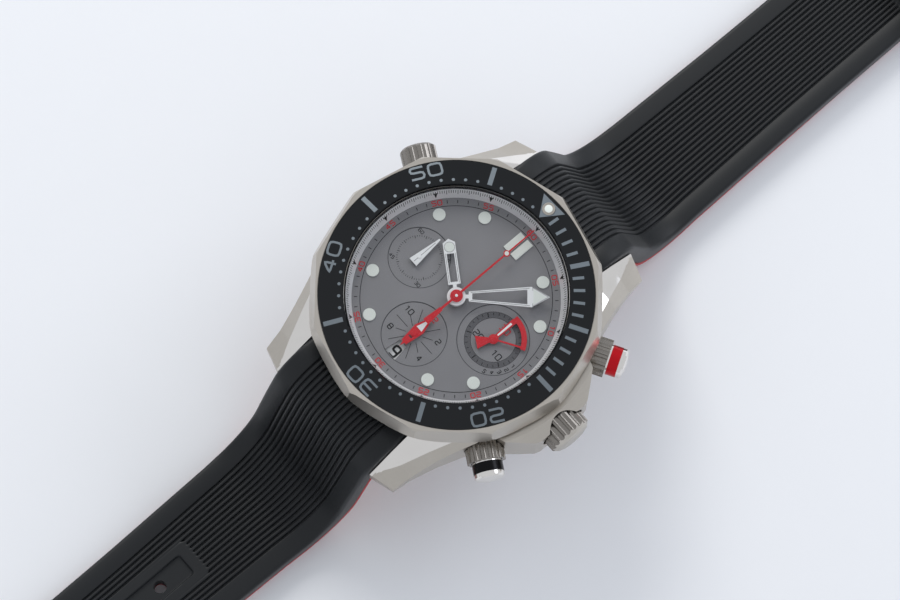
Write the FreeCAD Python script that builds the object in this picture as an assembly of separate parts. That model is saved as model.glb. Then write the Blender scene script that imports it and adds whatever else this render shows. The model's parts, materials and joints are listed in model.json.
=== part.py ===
"""Dive watch with chronograph, built piece by piece in millimetres.

Origin: centre of the case back's outer face. +Z goes up through the dial, +Y points to
twelve o'clock and +X to three o'clock. The strap's moulded bend holds the head above the
table, and both halves lie flat at strap_floor.
"""
import FreeCAD, Part
import math
import os

V = FreeCAD.Vector
ORIGIN = V(0, 0, 0)
UP = V(0, 0, 1)

# ---- driving dimensions -------------------------------------------------------------
bezel_radius = 22.25            # outside of the turning bezel
bezel_turn = 2.5                # how far the bezel stands turned, degrees
insert_inner, insert_outer = 16.8, 20.65
case_radius = 21.3
case_bottom, case_top = 1.0, 10.6
movement_bore = 16.6            # inside radius of the case round the movement
neck_inner, neck_outer, neck_top = 16.75, 17.6, 13.6
lug_gap = 10.5                  # half of the 21 mm between the lugs
bar_y, bar_z = 22.2, 3.4        # lug spring bar
bar_radius, bar_tip_radius = 0.9, 0.4

dial_bottom, dial_top = 11.0, 11.4
marker_top = 11.62
register_radius = 8.37          # small seconds and minute counter, from the centre
hour_register_y = -8.3

axis_height = 6.0               # crown, pushers and valve
crown_radius = 3.5
collar_radius = 2.92
cap_radius = 2.3
pusher_angles = {"start": 30, "reset": -30}
valve_angle = 152

arbor_radius, pivot_hole = 0.15, 0.20
bridge_bottom, bridge_top = 4.2, 4.9
plate_bottom, plate_top = 8.4, 10.0
plate_radius = 15.6

hour_angle, minute_angle = 303.45, 41.4      # hands at rest, clockwise from twelve

strap_floor = -17.7
strap_flat = 3.8                # thickness of the strap on its flat run
lining = 0.7
strap_end = 18.4                # inner end of each half, under the bezel
short_end, long_end = 108.4, 118.0
keeper_zone = 86.0              # the short half has no lining beyond this
first_hole, hole_step, hole_count = 59.0, 6.5, 8

MIRRORS = ((1, 1), (-1, 1), (1, -1), (-1, -1))


# ---- helpers ------------------------------------------------------------------------
def disc(radius, z0, z1, x=0.0, y=0.0):
    return Part.makeCylinder(radius, z1 - z0, V(x, y, z0), UP)


def ring(outer, inner, z0, z1, x=0.0, y=0.0):
    return disc(outer, z0, z1, x, y).cut(disc(inner, z0 - 1, z1 + 1, x, y))


def box(x0, x1, y0, y1, z0, z1):
    return Part.makeBox(x1 - x0, y1 - y0, z1 - z0, V(x0, y0, z0))


def face(points):
    return Part.Face(Part.makePolygon(points + points[:1]))


def plate(outline, z0, z1):
    return face([V(x, y, z0) for x, y in outline]).extrude(V(0, 0, z1 - z0))


def revolved(profile, axis=UP):
    """Turn a closed (radius, height) profile about the Z axis, or a (radius, x) one about X."""
    if axis == UP:
        points = [V(r, 0, h) for r, h in profile]
    else:
        points = [V(h, 0, r) for r, h in profile]
    return face(points).revolve(ORIGIN, axis, 360)


def polar(radius, degrees):
    return radius * math.cos(math.radians(degrees)), radius * math.sin(math.radians(degrees))


def turned(shape, degrees, x=0.0, y=0.0):
    copy = shape.copy()
    copy.rotate(V(x, y, 0), UP, degrees)
    return copy


def moved(shape, x=0.0, y=0.0, z=0.0):
    copy = shape.copy()
    copy.translate(V(x, y, z))
    return copy


def radial(shape, degrees):
    """Take a shape modelled along X at height 0 to the crown height and a direction."""
    return turned(moved(shape, z=axis_height), degrees)


def rod(radius, x0, x1):
    return Part.makeCylinder(radius, x1 - x0, V(x0, 0, 0), V(1, 0, 0))


def fluted_rod(radius, x0, x1, flutes, flute_radius, depth):
    body = rod(radius, x0, x1)
    centre = radius + flute_radius - depth
    cutters = []
    for i in range(flutes):
        y, z = polar(centre, 360.0 * i / flutes)
        cutters.append(Part.makeCylinder(flute_radius, x1 - x0 + 2, V(x0 - 1, y, z), V(1, 0, 0)))
    return body.cut(Part.makeCompound(cutters))


def fuse(first, *others):
    return first.fuse(list(others)).removeSplitter()


def gear(teeth, module, z0, z1, centre, phase, bore=None):
    """Wheel with straight-sided teeth; one tooth is centred on the phase angle."""
    pitch_radius = teeth * module / 2
    tip, root = pitch_radius + 0.9 * module, pitch_radius - 1.2 * module
    step = 360.0 / teeth
    outline = []
    for i in range(teeth):
        middle = phase + i * step
        for radius, share in ((root, -0.30), (tip, -0.12), (tip, 0.12), (root, 0.30)):
            x, y = polar(radius, middle + share * step)
            outline.append((centre[0] + x, centre[1] + y))
    wheel = plate(outline, z0, z1)
    if bore:
        wheel = wheel.cut(disc(bore, z0 - 1, z1 + 1, *centre))
    return wheel


def mesh_phase(phase, teeth, other_teeth, direction):
    """Phase of a wheel that meshes with one of the given phase, seen in the given direction."""
    step = 360.0 / teeth
    offset = (direction - phase) % step
    return direction + 180 + offset * teeth / other_teeth + 180.0 / other_teeth


def spokes_cut(wheel, centre, inner, outer, count, width, z0, z1):
    """Cut the windows between the spokes of a wheel."""
    x, y = centre
    windows = ring(outer, inner, z0 - 1, z1 + 1, x, y)
    for i in range(count):
        arm = box(x, x + outer + 1, y - width / 2, y + width / 2, z0 - 2, z1 + 2)
        windows = windows.cut(turned(arm, 360.0 * i / count, *centre))
    return wheel.cut(windows)


def hand(outline, z0, z1, openings=()):
    shape = plate(outline, z0, z1)
    for opening in openings:
        shape = shape.cut(plate(opening, z0 - 1, z1 + 1))
    return shape


def mirrored_outline(right_side):
    """Close an outline from its right half, given from one end of the Y axis to the other."""
    left_side = [(-x, y) for x, y in reversed(right_side) if x > 0]
    return right_side + left_side


# ---- case ---------------------------------------------------------------------------
def lug(side_x, side_y):
    """One twisted lug: its ridge runs from the outside of the case to the inner tip."""
    sections = []
    for y_out, y_in, bottom, outer, outer_top, ridge, ridge_top, inner_top in (
            (11.5, 11.5, 2.2, 18.3, 8.9, 16.9, 9.9, 9.9),
            (14.2, 14.2, 2.2, 17.3, 8.1, 15.9, 9.2, 9.3),
            (17.9, 17.9, 2.0, 16.0, 6.4, 14.4, 7.6, 8.2),
            (21.8, 22.0, 1.5, 14.95, 3.7, 12.75, 4.9, 6.0),
            (24.9, 26.1, 1.0, 14.5, 2.1, 10.9, 3.1, 3.2)):
        points = [V(lug_gap, y_in, bottom), V(outer, y_out, bottom), V(outer, y_out, outer_top)]
        along = (outer - ridge) / (outer - lug_gap)
        points.append(V(ridge, y_out + (y_in - y_out) * along, ridge_top))
        points.append(V(lug_gap, y_in, inner_top))
        sections.append(Part.makePolygon(points + points[:1]))
    shape = Part.makeLoft(sections, True, True)
    if side_x < 0:
        shape = shape.mirror(ORIGIN, V(1, 0, 0))
    if side_y < 0:
        shape = shape.mirror(ORIGIN, V(0, 1, 0))
    return shape


def lug_bar(side_y):
    """Spring bar between two lugs, with a thin tip at each end."""
    y = side_y * bar_y
    barrel = Part.makeCylinder(bar_radius, 2 * lug_gap - 0.2, V(-lug_gap + 0.1, y, bar_z), V(1, 0, 0))
    tips = Part.makeCylinder(bar_tip_radius, 2 * lug_gap + 1.8, V(-lug_gap - 0.9, y, bar_z), V(1, 0, 0))
    return fuse(barrel, tips)


def crown_guards():
    right = [(18.0, 9.8), (21.0, 8.7), (22.7, 6.7), (24.0, 5.1), (24.3, 4.2)]
    outline = right + [(x, -y) for x, y in reversed(right)]
    guards = plate(outline, 1.8, 9.9)
    wedge = revolved([(21.8, 10.5), (26.0, 10.5), (26.0, 7.7)])
    return guards.cut(wedge).cut(radial(rod(crown_radius + 0.3, 22.0, 30.0), 0))


def case_body():
    middle = revolved([(movement_bore, case_bottom), (19.6, case_bottom), (case_radius, 2.4),
                       (case_radius, 9.9), (20.7, case_top), (neck_outer, case_top),
                       (neck_outer, neck_top), (neck_inner, neck_top), (neck_inner, dial_bottom),
                       (movement_bore, dial_bottom)])
    valve_stub = radial(rod(1.9, 19.0, 23.6), valve_angle)
    shape = fuse(middle, crown_guards(), valve_stub, *[lug(sx, sy) for sx, sy in MIRRORS])
    cuts = [disc(neck_inner, dial_bottom, 20), disc(movement_bore, 0, dial_bottom),
            ring(17.4, 16.9, 0, case_bottom + 0.5)]
    for side in (1, -1):
        near, far = sorted((side * 17.8, side * 30.0))
        cuts.append(box(-lug_gap, lug_gap, near, far, case_bottom + 0.6, 20.0))
        near, far = sorted((side * 19.2, side * 30.0))
        cuts.append(box(-lug_gap, lug_gap, near, far, 0.0, 20.0))
        cuts.append(Part.makeCylinder(0.45, 2 * lug_gap + 2.2, V(-lug_gap - 1.1, side * bar_y, bar_z),
                                      V(1, 0, 0)))
    cuts.append(radial(rod(1.6, 17.0, 23.0), 0))
    cuts.append(radial(rod(0.7, 16.0, 17.0), 0))
    cuts.append(radial(rod(1.9, 16.0, 20.4), valve_angle).fuse(radial(rod(1.25, 20.0, 24.0), valve_angle)))
    for angle in pusher_angles.values():
        cuts.append(radial(rod(2.3, 18.4, 23.0), angle).fuse(radial(rod(0.95, 16.0, 18.6), angle)))
        cuts.append(radial(rod(collar_radius + 0.1, 21.5, 26.0), angle))
    return shape.cut(cuts).removeSplitter()


def case_back():
    shape = revolved([(0, 0), (17.0, 0), (17.6, 0.5), (17.6, case_bottom), (movement_bore - 0.05, case_bottom),
                      (movement_bore - 0.05, 2.4), (15.4, 2.4), (15.4, 0.9), (0, 0.9)])
    notch = box(16.3, 18.0, -1.2, 1.2, -1.0, 0.6)
    return shape.cut([turned(notch, 60 * i + 30) for i in range(6)])


def dome(rim_radius, rim_z, top_z):
    """Arc from a rim to the Z axis, on a sphere centred on the axis."""
    rise = top_z - rim_z
    sphere = (rim_radius ** 2 + rise ** 2) / (2 * rise)
    half = rim_radius / 2
    middle_z = top_z - sphere + math.sqrt(sphere ** 2 - half ** 2)
    return Part.Arc(V(rim_radius, 0, rim_z), V(half, 0, middle_z), V(0, 0, top_z)).toShape()


def crystal():
    """Domed sapphire, hollow underneath, with a small bevel round its top edge."""
    rim = neck_inner - 0.25
    corners = [V(15.9, 0, 13.2), V(rim, 0, 13.2), V(rim, 0, 14.4), V(rim - 0.3, 0, 14.6)]
    edges = Part.makePolygon(corners).Edges + [Part.makeLine(V(0, 0, 16.0), V(0, 0, 14.1))]
    edges += [dome(rim - 0.3, 14.6, 16.0), dome(15.9, 13.2, 14.1)]
    return Part.Face(Part.Wire(Part.__sortEdges__(edges))).revolve(ORIGIN, UP, 360)


def bezel_ring():
    """Bezel with twelve flat scallops on its shoulder and a 120-tooth ratchet inside."""
    lip = insert_outer + 0.08
    base = revolved([(17.7, 11.7), (17.7, 13.64), (lip, 13.64), (lip, 14.12), (21.5, 14.12),
                     (bezel_radius, 13.3), (bezel_radius, 11.5), (21.9, 10.75), (20.3, 10.75), (20.3, 11.7)])
    scallop_fall = 76
    cutter = Part.makeBox(6, 40, 6, V(0, -20, 0))
    cutter.rotate(ORIGIN, V(0, 1, 0), scallop_fall)
    cutter = moved(cutter, 20.95, 0, 14.3)
    scallops = [turned(cutter, bezel_turn + 15 + 30 * i) for i in range(12)]
    ratchet = []
    for i in range(120):
        for radius, share in ((20.2, 0.0), (20.45, 0.8)):
            ratchet.append(polar(radius, bezel_turn + 3.0 * (i + share)))
    return base.cut(scallops).cut(plate(ratchet, 10.0, 11.5))


def bezel_insert():
    """Black ring that slopes gently outwards, with a seat for the luminous pip."""
    shape = revolved([(insert_inner, 13.66), (insert_outer, 13.66), (insert_outer, 14.2),
                      (insert_inner + 0.1, 14.72), (insert_inner, 14.6)])
    x, y = polar(18.94, 90 + bezel_turn)
    return shape.cut(disc(1.0, 14.0, 16.0, x, y))


def bezel_pip():
    x, y = polar(18.94, 90 + bezel_turn)
    cup = disc(0.97, 14.0, 14.62, x, y)
    return cup.cut(ring(0.82, 0.68, 14.5, 15.0, x, y))


def bezel_click_spring():
    """Thin arc on the case that reaches for the ratchet with one bent tip."""
    arc = ring(19.5, 19.0, case_top, 10.9).cut(box(-25, 25, -25, 12.0, 10, 12))
    tip_x, tip_y = polar(19.35, 52)
    tip = turned(box(tip_x - 0.15, tip_x + 0.7, tip_y - 0.2, tip_y + 0.2, case_top, 11.3), 52, tip_x, tip_y)
    return fuse(arc, tip)


def flange_ring():
    return revolved([(15.6, dial_top), (16.72, dial_top), (16.72, 13.15), (16.45, 13.15)])


def movement_ring():
    return ring(movement_bore - 0.02, plate_radius, 7.4, dial_bottom)


# ---- crown, pushers, valve ----------------------------------------------------------
def crown_tube():
    return radial(rod(1.6, 17.0, 24.0).cut(rod(0.6, 16.0, 25.0)), 0)


def crown():
    knob = fluted_rod(crown_radius, 22.9, 27.2, 18, 0.55, 0.28)
    form = revolved([(0, 22.9), (3.3, 22.9), (crown_radius, 23.1), (crown_radius, 26.0), (2.8, 26.6),
                     (2.0, 26.85), (0, 26.95)], V(1, 0, 0))
    knob = knob.common(form).cut([rod(1.7, 22.0, 24.6), rod(0.5, 24.0, 25.4)])
    return radial(knob, 0)


def winding_stem():
    """Round stem from the crown, with a square end that slides through the pinion."""
    square = box(10.4, 14.6, -0.35, 0.35, -0.35, 0.35)
    return radial(fuse(rod(0.5, 14.6, 25.4), square), 0)


def winding_pinion():
    body = revolved([(0, 12.2), (1.0, 12.2), (1.0, 12.6), (0.7, 12.7), (0.7, 13.1), (1.0, 13.2),
                     (1.0, 13.6), (0, 13.6)], V(1, 0, 0))
    return radial(body.cut(box(12.0, 14.0, -0.42, 0.42, -0.42, 0.42)), 0)


def pusher_collar(angle):
    outside = fluted_rod(collar_radius, 21.5, 24.15, 16, 0.45, 0.22)
    neck = rod(2.28, 18.42, 21.6)
    inside = rod(0.95, 18.0, 19.6).fuse([rod(1.9, 19.4, 22.2), rod(cap_radius + 0.08, 22.0, 25.0)])
    return radial(fuse(outside, neck).cut(inside), angle)


def pusher(angle):
    cap = revolved([(0, 23.3), (cap_radius, 23.3), (cap_radius, 24.4), (cap_radius - 0.35, 24.4),
                    (cap_radius - 0.35, 25.95), (cap_radius, 25.95), (cap_radius, 26.5), (2.1, 26.75),
                    (1.2, 27.0), (0, 27.08)], V(1, 0, 0))
    return radial(fuse(cap, rod(0.85, 17.4, 23.4)), angle)


def pusher_ring(angle):
    return radial(rod(cap_radius + 0.03, 24.4, 25.95).cut(rod(cap_radius - 0.35, 24.0, 26.2)), angle)


def coil_spring(radius, wire, x0, x1, turns):
    """Compression spring of square wire round the X axis."""
    helix = Part.makeHelix((x1 - x0) / turns, x1 - x0, radius)
    corners = [V(radius + a * wire, 0, b * wire) for a, b in ((-1, -1), (1, -1), (1, 1), (-1, 1), (-1, -1))]
    coil = Part.Wire(helix).makePipeShell([Part.makePolygon(corners)], True, True)
    coil.rotate(ORIGIN, V(0, 1, 0), 90)
    return moved(coil, x0)


def pusher_springs():
    coils = [radial(coil_spring(1.4, 0.15, 19.65, 23.1, 4.0), angle) for angle in pusher_angles.values()]
    return Part.makeCompound(coils)


def valve_crown():
    knob = fluted_rod(2.75, 22.4, 26.0, 14, 0.5, 0.2)
    form = revolved([(0, 22.4), (2.6, 22.4), (2.75, 22.55), (2.75, 25.2), (2.35, 25.6), (1.2, 25.82),
                     (0, 25.9)], V(1, 0, 0))
    knob = knob.common(form).cut([rod(2.0, 22.0, 23.9), rod(1.2, 23.5, 25.0)])
    return radial(knob, valve_angle)


def valve_piston():
    return radial(fuse(rod(1.8, 18.0, 18.9), rod(1.15, 18.5, 24.95)), valve_angle)


# ---- dial and hands -----------------------------------------------------------------
def dial_plate():
    shape = disc(16.4, dial_bottom, dial_top)
    cuts = [disc(1.05, 10, 12)]
    for x, y, radius in ((-register_radius, 0, 4.75), (register_radius, 0, 5.5), (0, hour_register_y, 5.0)):
        cuts.append(disc(radius, dial_top - 0.1, 12, x, y))
        cuts.append(disc(0.3, 10, 12, x, y))
    window = [polar(2.3, -109), polar(4.9, -103), polar(4.9, -77), polar(2.3, -71)]
    cuts.append(plate([(x, y + hour_register_y) for x, y in window], 10, 12))
    return shape.cut(cuts)


def hour_markers():
    """Eight round markers and the split bar at twelve, each its own solid."""
    rounds = []
    for hour in (1, 2, 4, 5, 7, 8, 10, 11):
        x, y = polar(13.17, 90 - 30 * hour)
        rounds.append(disc(0.95, dial_top, marker_top, x, y))
    bars = [box(x, x + 1.25, 10.6, 14.0, dial_top, marker_top) for x in (0.15, -1.4)]
    return Part.makeCompound(rounds + bars)


def hour_hand():
    z0, z1 = 12.12, 12.38
    outline = mirrored_outline([(0.28, 0.8), (0.28, 1.95), (0.93, 2.0), (0.93, 8.45), (0, 9.05)])
    opening = mirrored_outline([(0.55, 2.35), (0.55, 6.75)])
    blade = hand(outline, z0, z1, [opening])
    blade = fuse(blade, disc(1.4, z0, z1)).cut(disc(0.95, 12.0, 12.5))
    return turned(blade, -hour_angle)


def minute_hand():
    z0, z1 = 12.55, 12.8
    outline = mirrored_outline([(0.28, 0.5), (0.28, 1.8), (0.76, 1.85), (1.57, 11.2), (0, 13.9)])
    opening = mirrored_outline([(0.48, 2.35), (1.12, 10.55)])
    blade = hand(outline, z0, z1, [opening])
    blade = fuse(blade, disc(1.4, z0, z1)).cut(disc(0.55, 12.4, 13.0))
    return turned(blade, -minute_angle)


def chrono_seconds_hand():
    z0, z1 = 12.98, 13.14
    needle = plate(mirrored_outline([(0.17, -3.2), (0.17, 0), (0.09, 15.4)]), z0, z1)
    weight = plate(mirrored_outline([(0.3, -3.0), (0.56, -6.05)][::-1]), z0, z1)
    lume_ring = disc(0.5, z0, z1, 0, 9.95)
    return fuse(needle, weight, lume_ring, disc(0.95, z0, z1)).cut(disc(arbor_radius, 12, 13.05))


def small_seconds_hand():
    outline = mirrored_outline([(0.78, -1.27), (0.12, 4.1)])
    return moved(hand(outline, 11.75, 11.92).cut(disc(arbor_radius, 11.0, 11.85)), -register_radius, 0)


def hour_counter_hand():
    outline = mirrored_outline([(0.5, -2.05), (0.92, 1.0), (0, 3.9)])
    opening = mirrored_outline([(0.2, -2.6), (0.32, -0.6)])
    blade = fuse(hand(outline, 11.75, 11.92, [opening]), disc(0.6, 11.75, 11.92))
    return moved(blade.cut(disc(arbor_radius, 11.0, 11.85)), 0, hour_register_y)


def minute_counter_hand():
    """Sector hand: a broad pointer, a thin second arm, the arc between them and a tail."""
    z0, z1 = 11.75, 11.92
    pointer = plate(mirrored_outline([(0.3, 0), (0.42, 4.3)]), z0, z1)
    second_arm = turned(plate(mirrored_outline([(0.12, 0), (0.12, 4.4)]), z0, z1), -58)
    arc = ring(5.0, 4.2, z0, z1).common(plate([(0, 0), polar(9, 94), polar(11, 60), polar(9, 28)], z0, z1))
    tail = turned(plate(mirrored_outline([(0.25, 0.2), (1.0, 2.6)]), z0, z1), 150)
    blade = fuse(pointer, second_arm, arc, tail, disc(0.75, z0, z1))
    return moved(blade.cut(disc(arbor_radius, 11.0, 11.85)), register_radius, 0)


# ---- movement -----------------------------------------------------------------------
seconds_centre = (-register_radius, 0.0)
minutes_centre = (register_radius, 0.0)
hours_centre = (0.0, hour_register_y)
barrel_centre = (-2.6, 7.2)
balance_centre = (-6.2, -9.6)
cock_foot = (balance_centre[0] + 3.84, balance_centre[1] - 0.68)

barrel_teeth, third_pinion_teeth, barrel_module = 72, 12, 0.15
third_teeth, fourth_pinion_teeth, third_module = 60, 10, 0.10
fourth_teeth, escape_pinion_teeth, fourth_module = 56, 8, 0.10
cannon_teeth, minute_wheel_teeth, minute_module = 12, 36, 0.125
minute_pinion_teeth, hour_wheel_teeth, hour_module = 10, 40, 0.12
minute_wheel_centre = polar(3.0, 45)


def reach(first, second, module):
    return (first + second) * module / 2


def crossing(centre_a, radius_a, centre_b, radius_b):
    """Meeting point of two circles, the one on the left of the way from a to b."""
    dx, dy = centre_b[0] - centre_a[0], centre_b[1] - centre_a[1]
    gap = math.hypot(dx, dy)
    along = (radius_a ** 2 - radius_b ** 2 + gap ** 2) / (2 * gap)
    aside = math.sqrt(radius_a ** 2 - along ** 2)
    return (centre_a[0] + along * dx / gap - aside * dy / gap,
            centre_a[1] + along * dy / gap + aside * dx / gap)


def bearing(start, end):
    return math.degrees(math.atan2(end[1] - start[1], end[0] - start[0]))


third_centre = crossing(seconds_centre, reach(third_teeth, fourth_pinion_teeth, third_module),
                        barrel_centre, reach(barrel_teeth, third_pinion_teeth, barrel_module))
escape_offset = polar(reach(fourth_teeth, escape_pinion_teeth, fourth_module), -80)
escape_centre = (seconds_centre[0] + escape_offset[0], escape_offset[1])
pallet_offset = polar(2.75, bearing(escape_centre, balance_centre))
pallet_centre = (escape_centre[0] + pallet_offset[0], escape_centre[1] + pallet_offset[1])

third_pinion_phase = mesh_phase(0, barrel_teeth, third_pinion_teeth, bearing(barrel_centre, third_centre))
fourth_pinion_phase = mesh_phase(0, third_teeth, fourth_pinion_teeth, bearing(third_centre, seconds_centre))
escape_pinion_phase = mesh_phase(0, fourth_teeth, escape_pinion_teeth, bearing(seconds_centre, escape_centre))
minute_wheel_phase = mesh_phase(0, cannon_teeth, minute_wheel_teeth, 45)
hour_wheel_phase = mesh_phase(0, minute_pinion_teeth, hour_wheel_teeth, 225)

train_centres = (seconds_centre, minutes_centre, hours_centre, third_centre, escape_centre,
                 pallet_centre, barrel_centre, (0.0, 0.0))


def arbor(centre, z0, z1):
    return disc(arbor_radius, z0, z1, *centre)


def main_plate():
    """Plate with a raised rim under the dial and a post for the minute wheel."""
    shape = fuse(disc(plate_radius, plate_bottom, plate_top), ring(plate_radius, 14.9, 9.5, dial_bottom),
                 disc(0.2, plate_top, 10.9, *minute_wheel_centre))
    holes = [disc(pivot_hole, 8, 12, *centre) for centre in train_centres]
    holes.append(disc(0.25, 8, 9.2, *balance_centre))
    return shape.cut(holes)


def train_bridge():
    """Bridge on four pillars, open where the balance swings."""
    shape = disc(15.0, bridge_bottom, bridge_top)
    pillars = [disc(0.65, bridge_top, plate_bottom, *polar(14.3, angle)) for angle in (35, 100, 165, 300)]
    shape = fuse(shape, *pillars)
    holes = [disc(pivot_hole, 4, 5, *centre) for centre in train_centres if centre != (0.0, 0.0)]
    holes.append(disc(4.75, 4, 5, *balance_centre))
    holes += [disc(0.5, 4, 5, *polar(14.0, angle)) for angle in (35, 165, 300)]
    return shape.cut(holes)


def balance_cock():
    x0, y0 = balance_centre
    x1, y1 = cock_foot
    arm = box(x0, x0 + 3.9, y0 - 0.6, y0 + 0.6, bridge_bottom, bridge_top)
    arm = turned(arm, bearing(balance_centre, cock_foot), x0, y0)
    foot = disc(0.6, bridge_bottom, plate_bottom, x1, y1)
    return fuse(arm, disc(1.3, bridge_bottom, bridge_top, x0, y0), foot).cut(disc(0.25, 4, 5, x0, y0))


def bridge_screws():
    """Three slotted screws that hold the train bridge."""
    screws = []
    for angle in (35, 165, 300):
        x, y = polar(14.0, angle)
        screw = fuse(disc(0.48, bridge_bottom, bridge_top - 0.02, x, y), disc(0.75, 3.9, bridge_bottom, x, y))
        screws.append(screw.cut(box(x - 1, x + 1, y - 0.1, y + 0.1, 3.8, 4.05)))
    return Part.makeCompound(screws)


def rotor_bearing():
    return fuse(disc(1.1, 1.5, bridge_bottom), disc(1.7, 1.2, 1.52), disc(1.8, 3.0, bridge_bottom))


def rotor():
    """Half-disc winding weight with a thick rim."""
    web = disc(14.6, 1.6, 2.3).cut(box(-20, 20, 0, 20, 1, 3))
    rim = ring(14.6, 12.6, 2.2, 3.4).cut(box(-20, 20, 0, 20, 1, 4))
    return fuse(web, rim, disc(2.6, 1.6, 2.3)).cut(disc(1.16, 1, 3))


def barrel():
    z0, z1 = 7.1, 7.5
    drum = disc(4.9, 5.8, z0, *barrel_centre)
    wheel = gear(barrel_teeth, barrel_module, z0, z1, barrel_centre, 0)
    return fuse(wheel, drum, arbor(barrel_centre, 4.4, 8.9))


def third_wheel():
    z0, z1 = 5.3, 5.6
    wheel = gear(third_teeth, third_module, z0, z1, third_centre, 0)
    wheel = spokes_cut(wheel, third_centre, 0.8, 2.4, 4, 0.35, z0, z1)
    pinion = gear(third_pinion_teeth, barrel_module, 6.95, 7.55, third_centre, third_pinion_phase)
    return fuse(wheel, pinion, arbor(third_centre, 4.4, 8.9))


def fourth_wheel():
    z0, z1 = 6.2, 6.5
    wheel = gear(fourth_teeth, fourth_module, z0, z1, seconds_centre, 0)
    wheel = spokes_cut(wheel, seconds_centre, 0.7, 2.2, 4, 0.3, z0, z1)
    pinion = gear(fourth_pinion_teeth, third_module, 5.15, 6.2, seconds_centre, fourth_pinion_phase)
    return fuse(wheel, pinion, arbor(seconds_centre, 4.4, 11.85))


def escape_wheel():
    """Fifteen raked teeth over a small pinion."""
    outline = []
    for i in range(15):
        for radius, share in ((1.75, 0.0), (2.2, 0.55), (2.2, 0.68), (1.75, 0.62)):
            x, y = polar(radius, 24.0 * (i + share))
            outline.append((escape_centre[0] + x, escape_centre[1] + y))
    wheel = spokes_cut(plate(outline, 6.75, 7.0), escape_centre, 0.6, 1.4, 4, 0.25, 6.75, 7.0)
    pinion = gear(escape_pinion_teeth, fourth_module, 6.1, 6.75, escape_centre, escape_pinion_phase)
    return fuse(wheel, pinion, arbor(escape_centre, 4.4, 8.9))


def pallet_lever():
    """Anchor with two stones and a lever towards the balance, modelled along +X."""
    z0, z1 = 6.75, 7.0
    lever = box(0, 3.2, -0.14, 0.14, z0, z1)
    anchor = box(-0.2, 0.2, -1.3, 1.3, z0, z1)
    stones = [box(-0.4, 0, 1.05, 1.3, z0, z1), box(-0.4, 0, -1.3, -1.05, z0, z1)]
    shape = fuse(lever, anchor, *stones)
    shape = turned(shape, bearing(escape_centre, balance_centre))
    return fuse(moved(shape, *pallet_centre), arbor(pallet_centre, 4.4, 8.9))


def balance_wheel():
    rim = ring(2.9, 2.45, 5.6, 6.1, *balance_centre)
    arms = [turned(box(balance_centre[0] - 2.6, balance_centre[0] + 2.6, balance_centre[1] - 0.15,
                       balance_centre[1] + 0.15, 5.65, 6.0), angle, *balance_centre) for angle in (0, 90)]
    roller = disc(0.45, 6.7, 7.05, *balance_centre)
    return fuse(rim, *arms, roller, disc(0.2, 4.3, 9.1, *balance_centre))


def hairspring():
    """Flat spiral of five turns under the balance cock."""
    turns, per_turn, width = 5, 20, 0.07
    inner, pitch = 0.45, 0.32
    inside, outside = [], []
    for i in range(turns * per_turn + 1):
        radius = inner + pitch * i / per_turn
        angle = 360.0 * i / per_turn
        inside.append(polar(radius, angle))
        outside.append(polar(radius + width, angle))
    spiral = plate(inside + outside[::-1], 5.05, 5.3)
    return moved(spiral, *balance_centre)


def counter_wheel(centre, teeth):
    """Chronograph counter: a fine-toothed wheel on a long arbor that carries its hand."""
    wheel = gear(teeth, 0.1, 7.65, 7.95, centre, 0)
    wheel = spokes_cut(wheel, centre, 0.7, teeth * 0.05 - 0.6, 4, 0.3, 7.65, 7.95)
    return fuse(wheel, arbor(centre, 4.4, 11.85))


def chrono_runner():
    wheel = spokes_cut(gear(78, 0.1, 7.65, 7.95, (0, 0), 0), (0, 0), 0.8, 3.3, 5, 0.35, 7.65, 7.95)
    return fuse(wheel, arbor((0, 0), 5.0, 13.05))


def cannon_pinion():
    pinion = gear(cannon_teeth, minute_module, 10.05, 10.42, (0, 0), 0)
    return fuse(pinion, disc(0.55, 10.05, 12.8)).cut(disc(pivot_hole, 10, 13))


def minute_wheel():
    wheel = gear(minute_wheel_teeth, minute_module, 10.05, 10.42, minute_wheel_centre, minute_wheel_phase)
    pinion = gear(minute_pinion_teeth, hour_module, 10.42, 10.85, minute_wheel_centre, 0)
    return fuse(wheel, pinion).cut(disc(0.25, 10, 11, *minute_wheel_centre))


def hour_wheel():
    wheel = gear(hour_wheel_teeth, hour_module, 10.47, 10.85, (0, 0), hour_wheel_phase)
    return fuse(wheel, disc(0.95, 10.47, 12.4)).cut(disc(0.6, 10, 13))


def date_ring():
    """Ring with 31 inner teeth that carries the date numerals."""
    inner = []
    for i in range(31):
        for radius, share in ((10.2, -0.35), (9.9, -0.15), (9.9, 0.15), (10.2, 0.35)):
            inner.append(polar(radius, 360.0 / 31 * (i + share)))
    return disc(14.7, 10.1, 10.5).cut(plate(inner, 10.0, 11.0))


# ---- strap --------------------------------------------------------------------------
bend = 70                        # steepness of the strap's fall from the lugs
crest_radius, foot_radius = 7.0, 9.0
crest_y, crest_z = 20.8, 7.5


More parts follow.
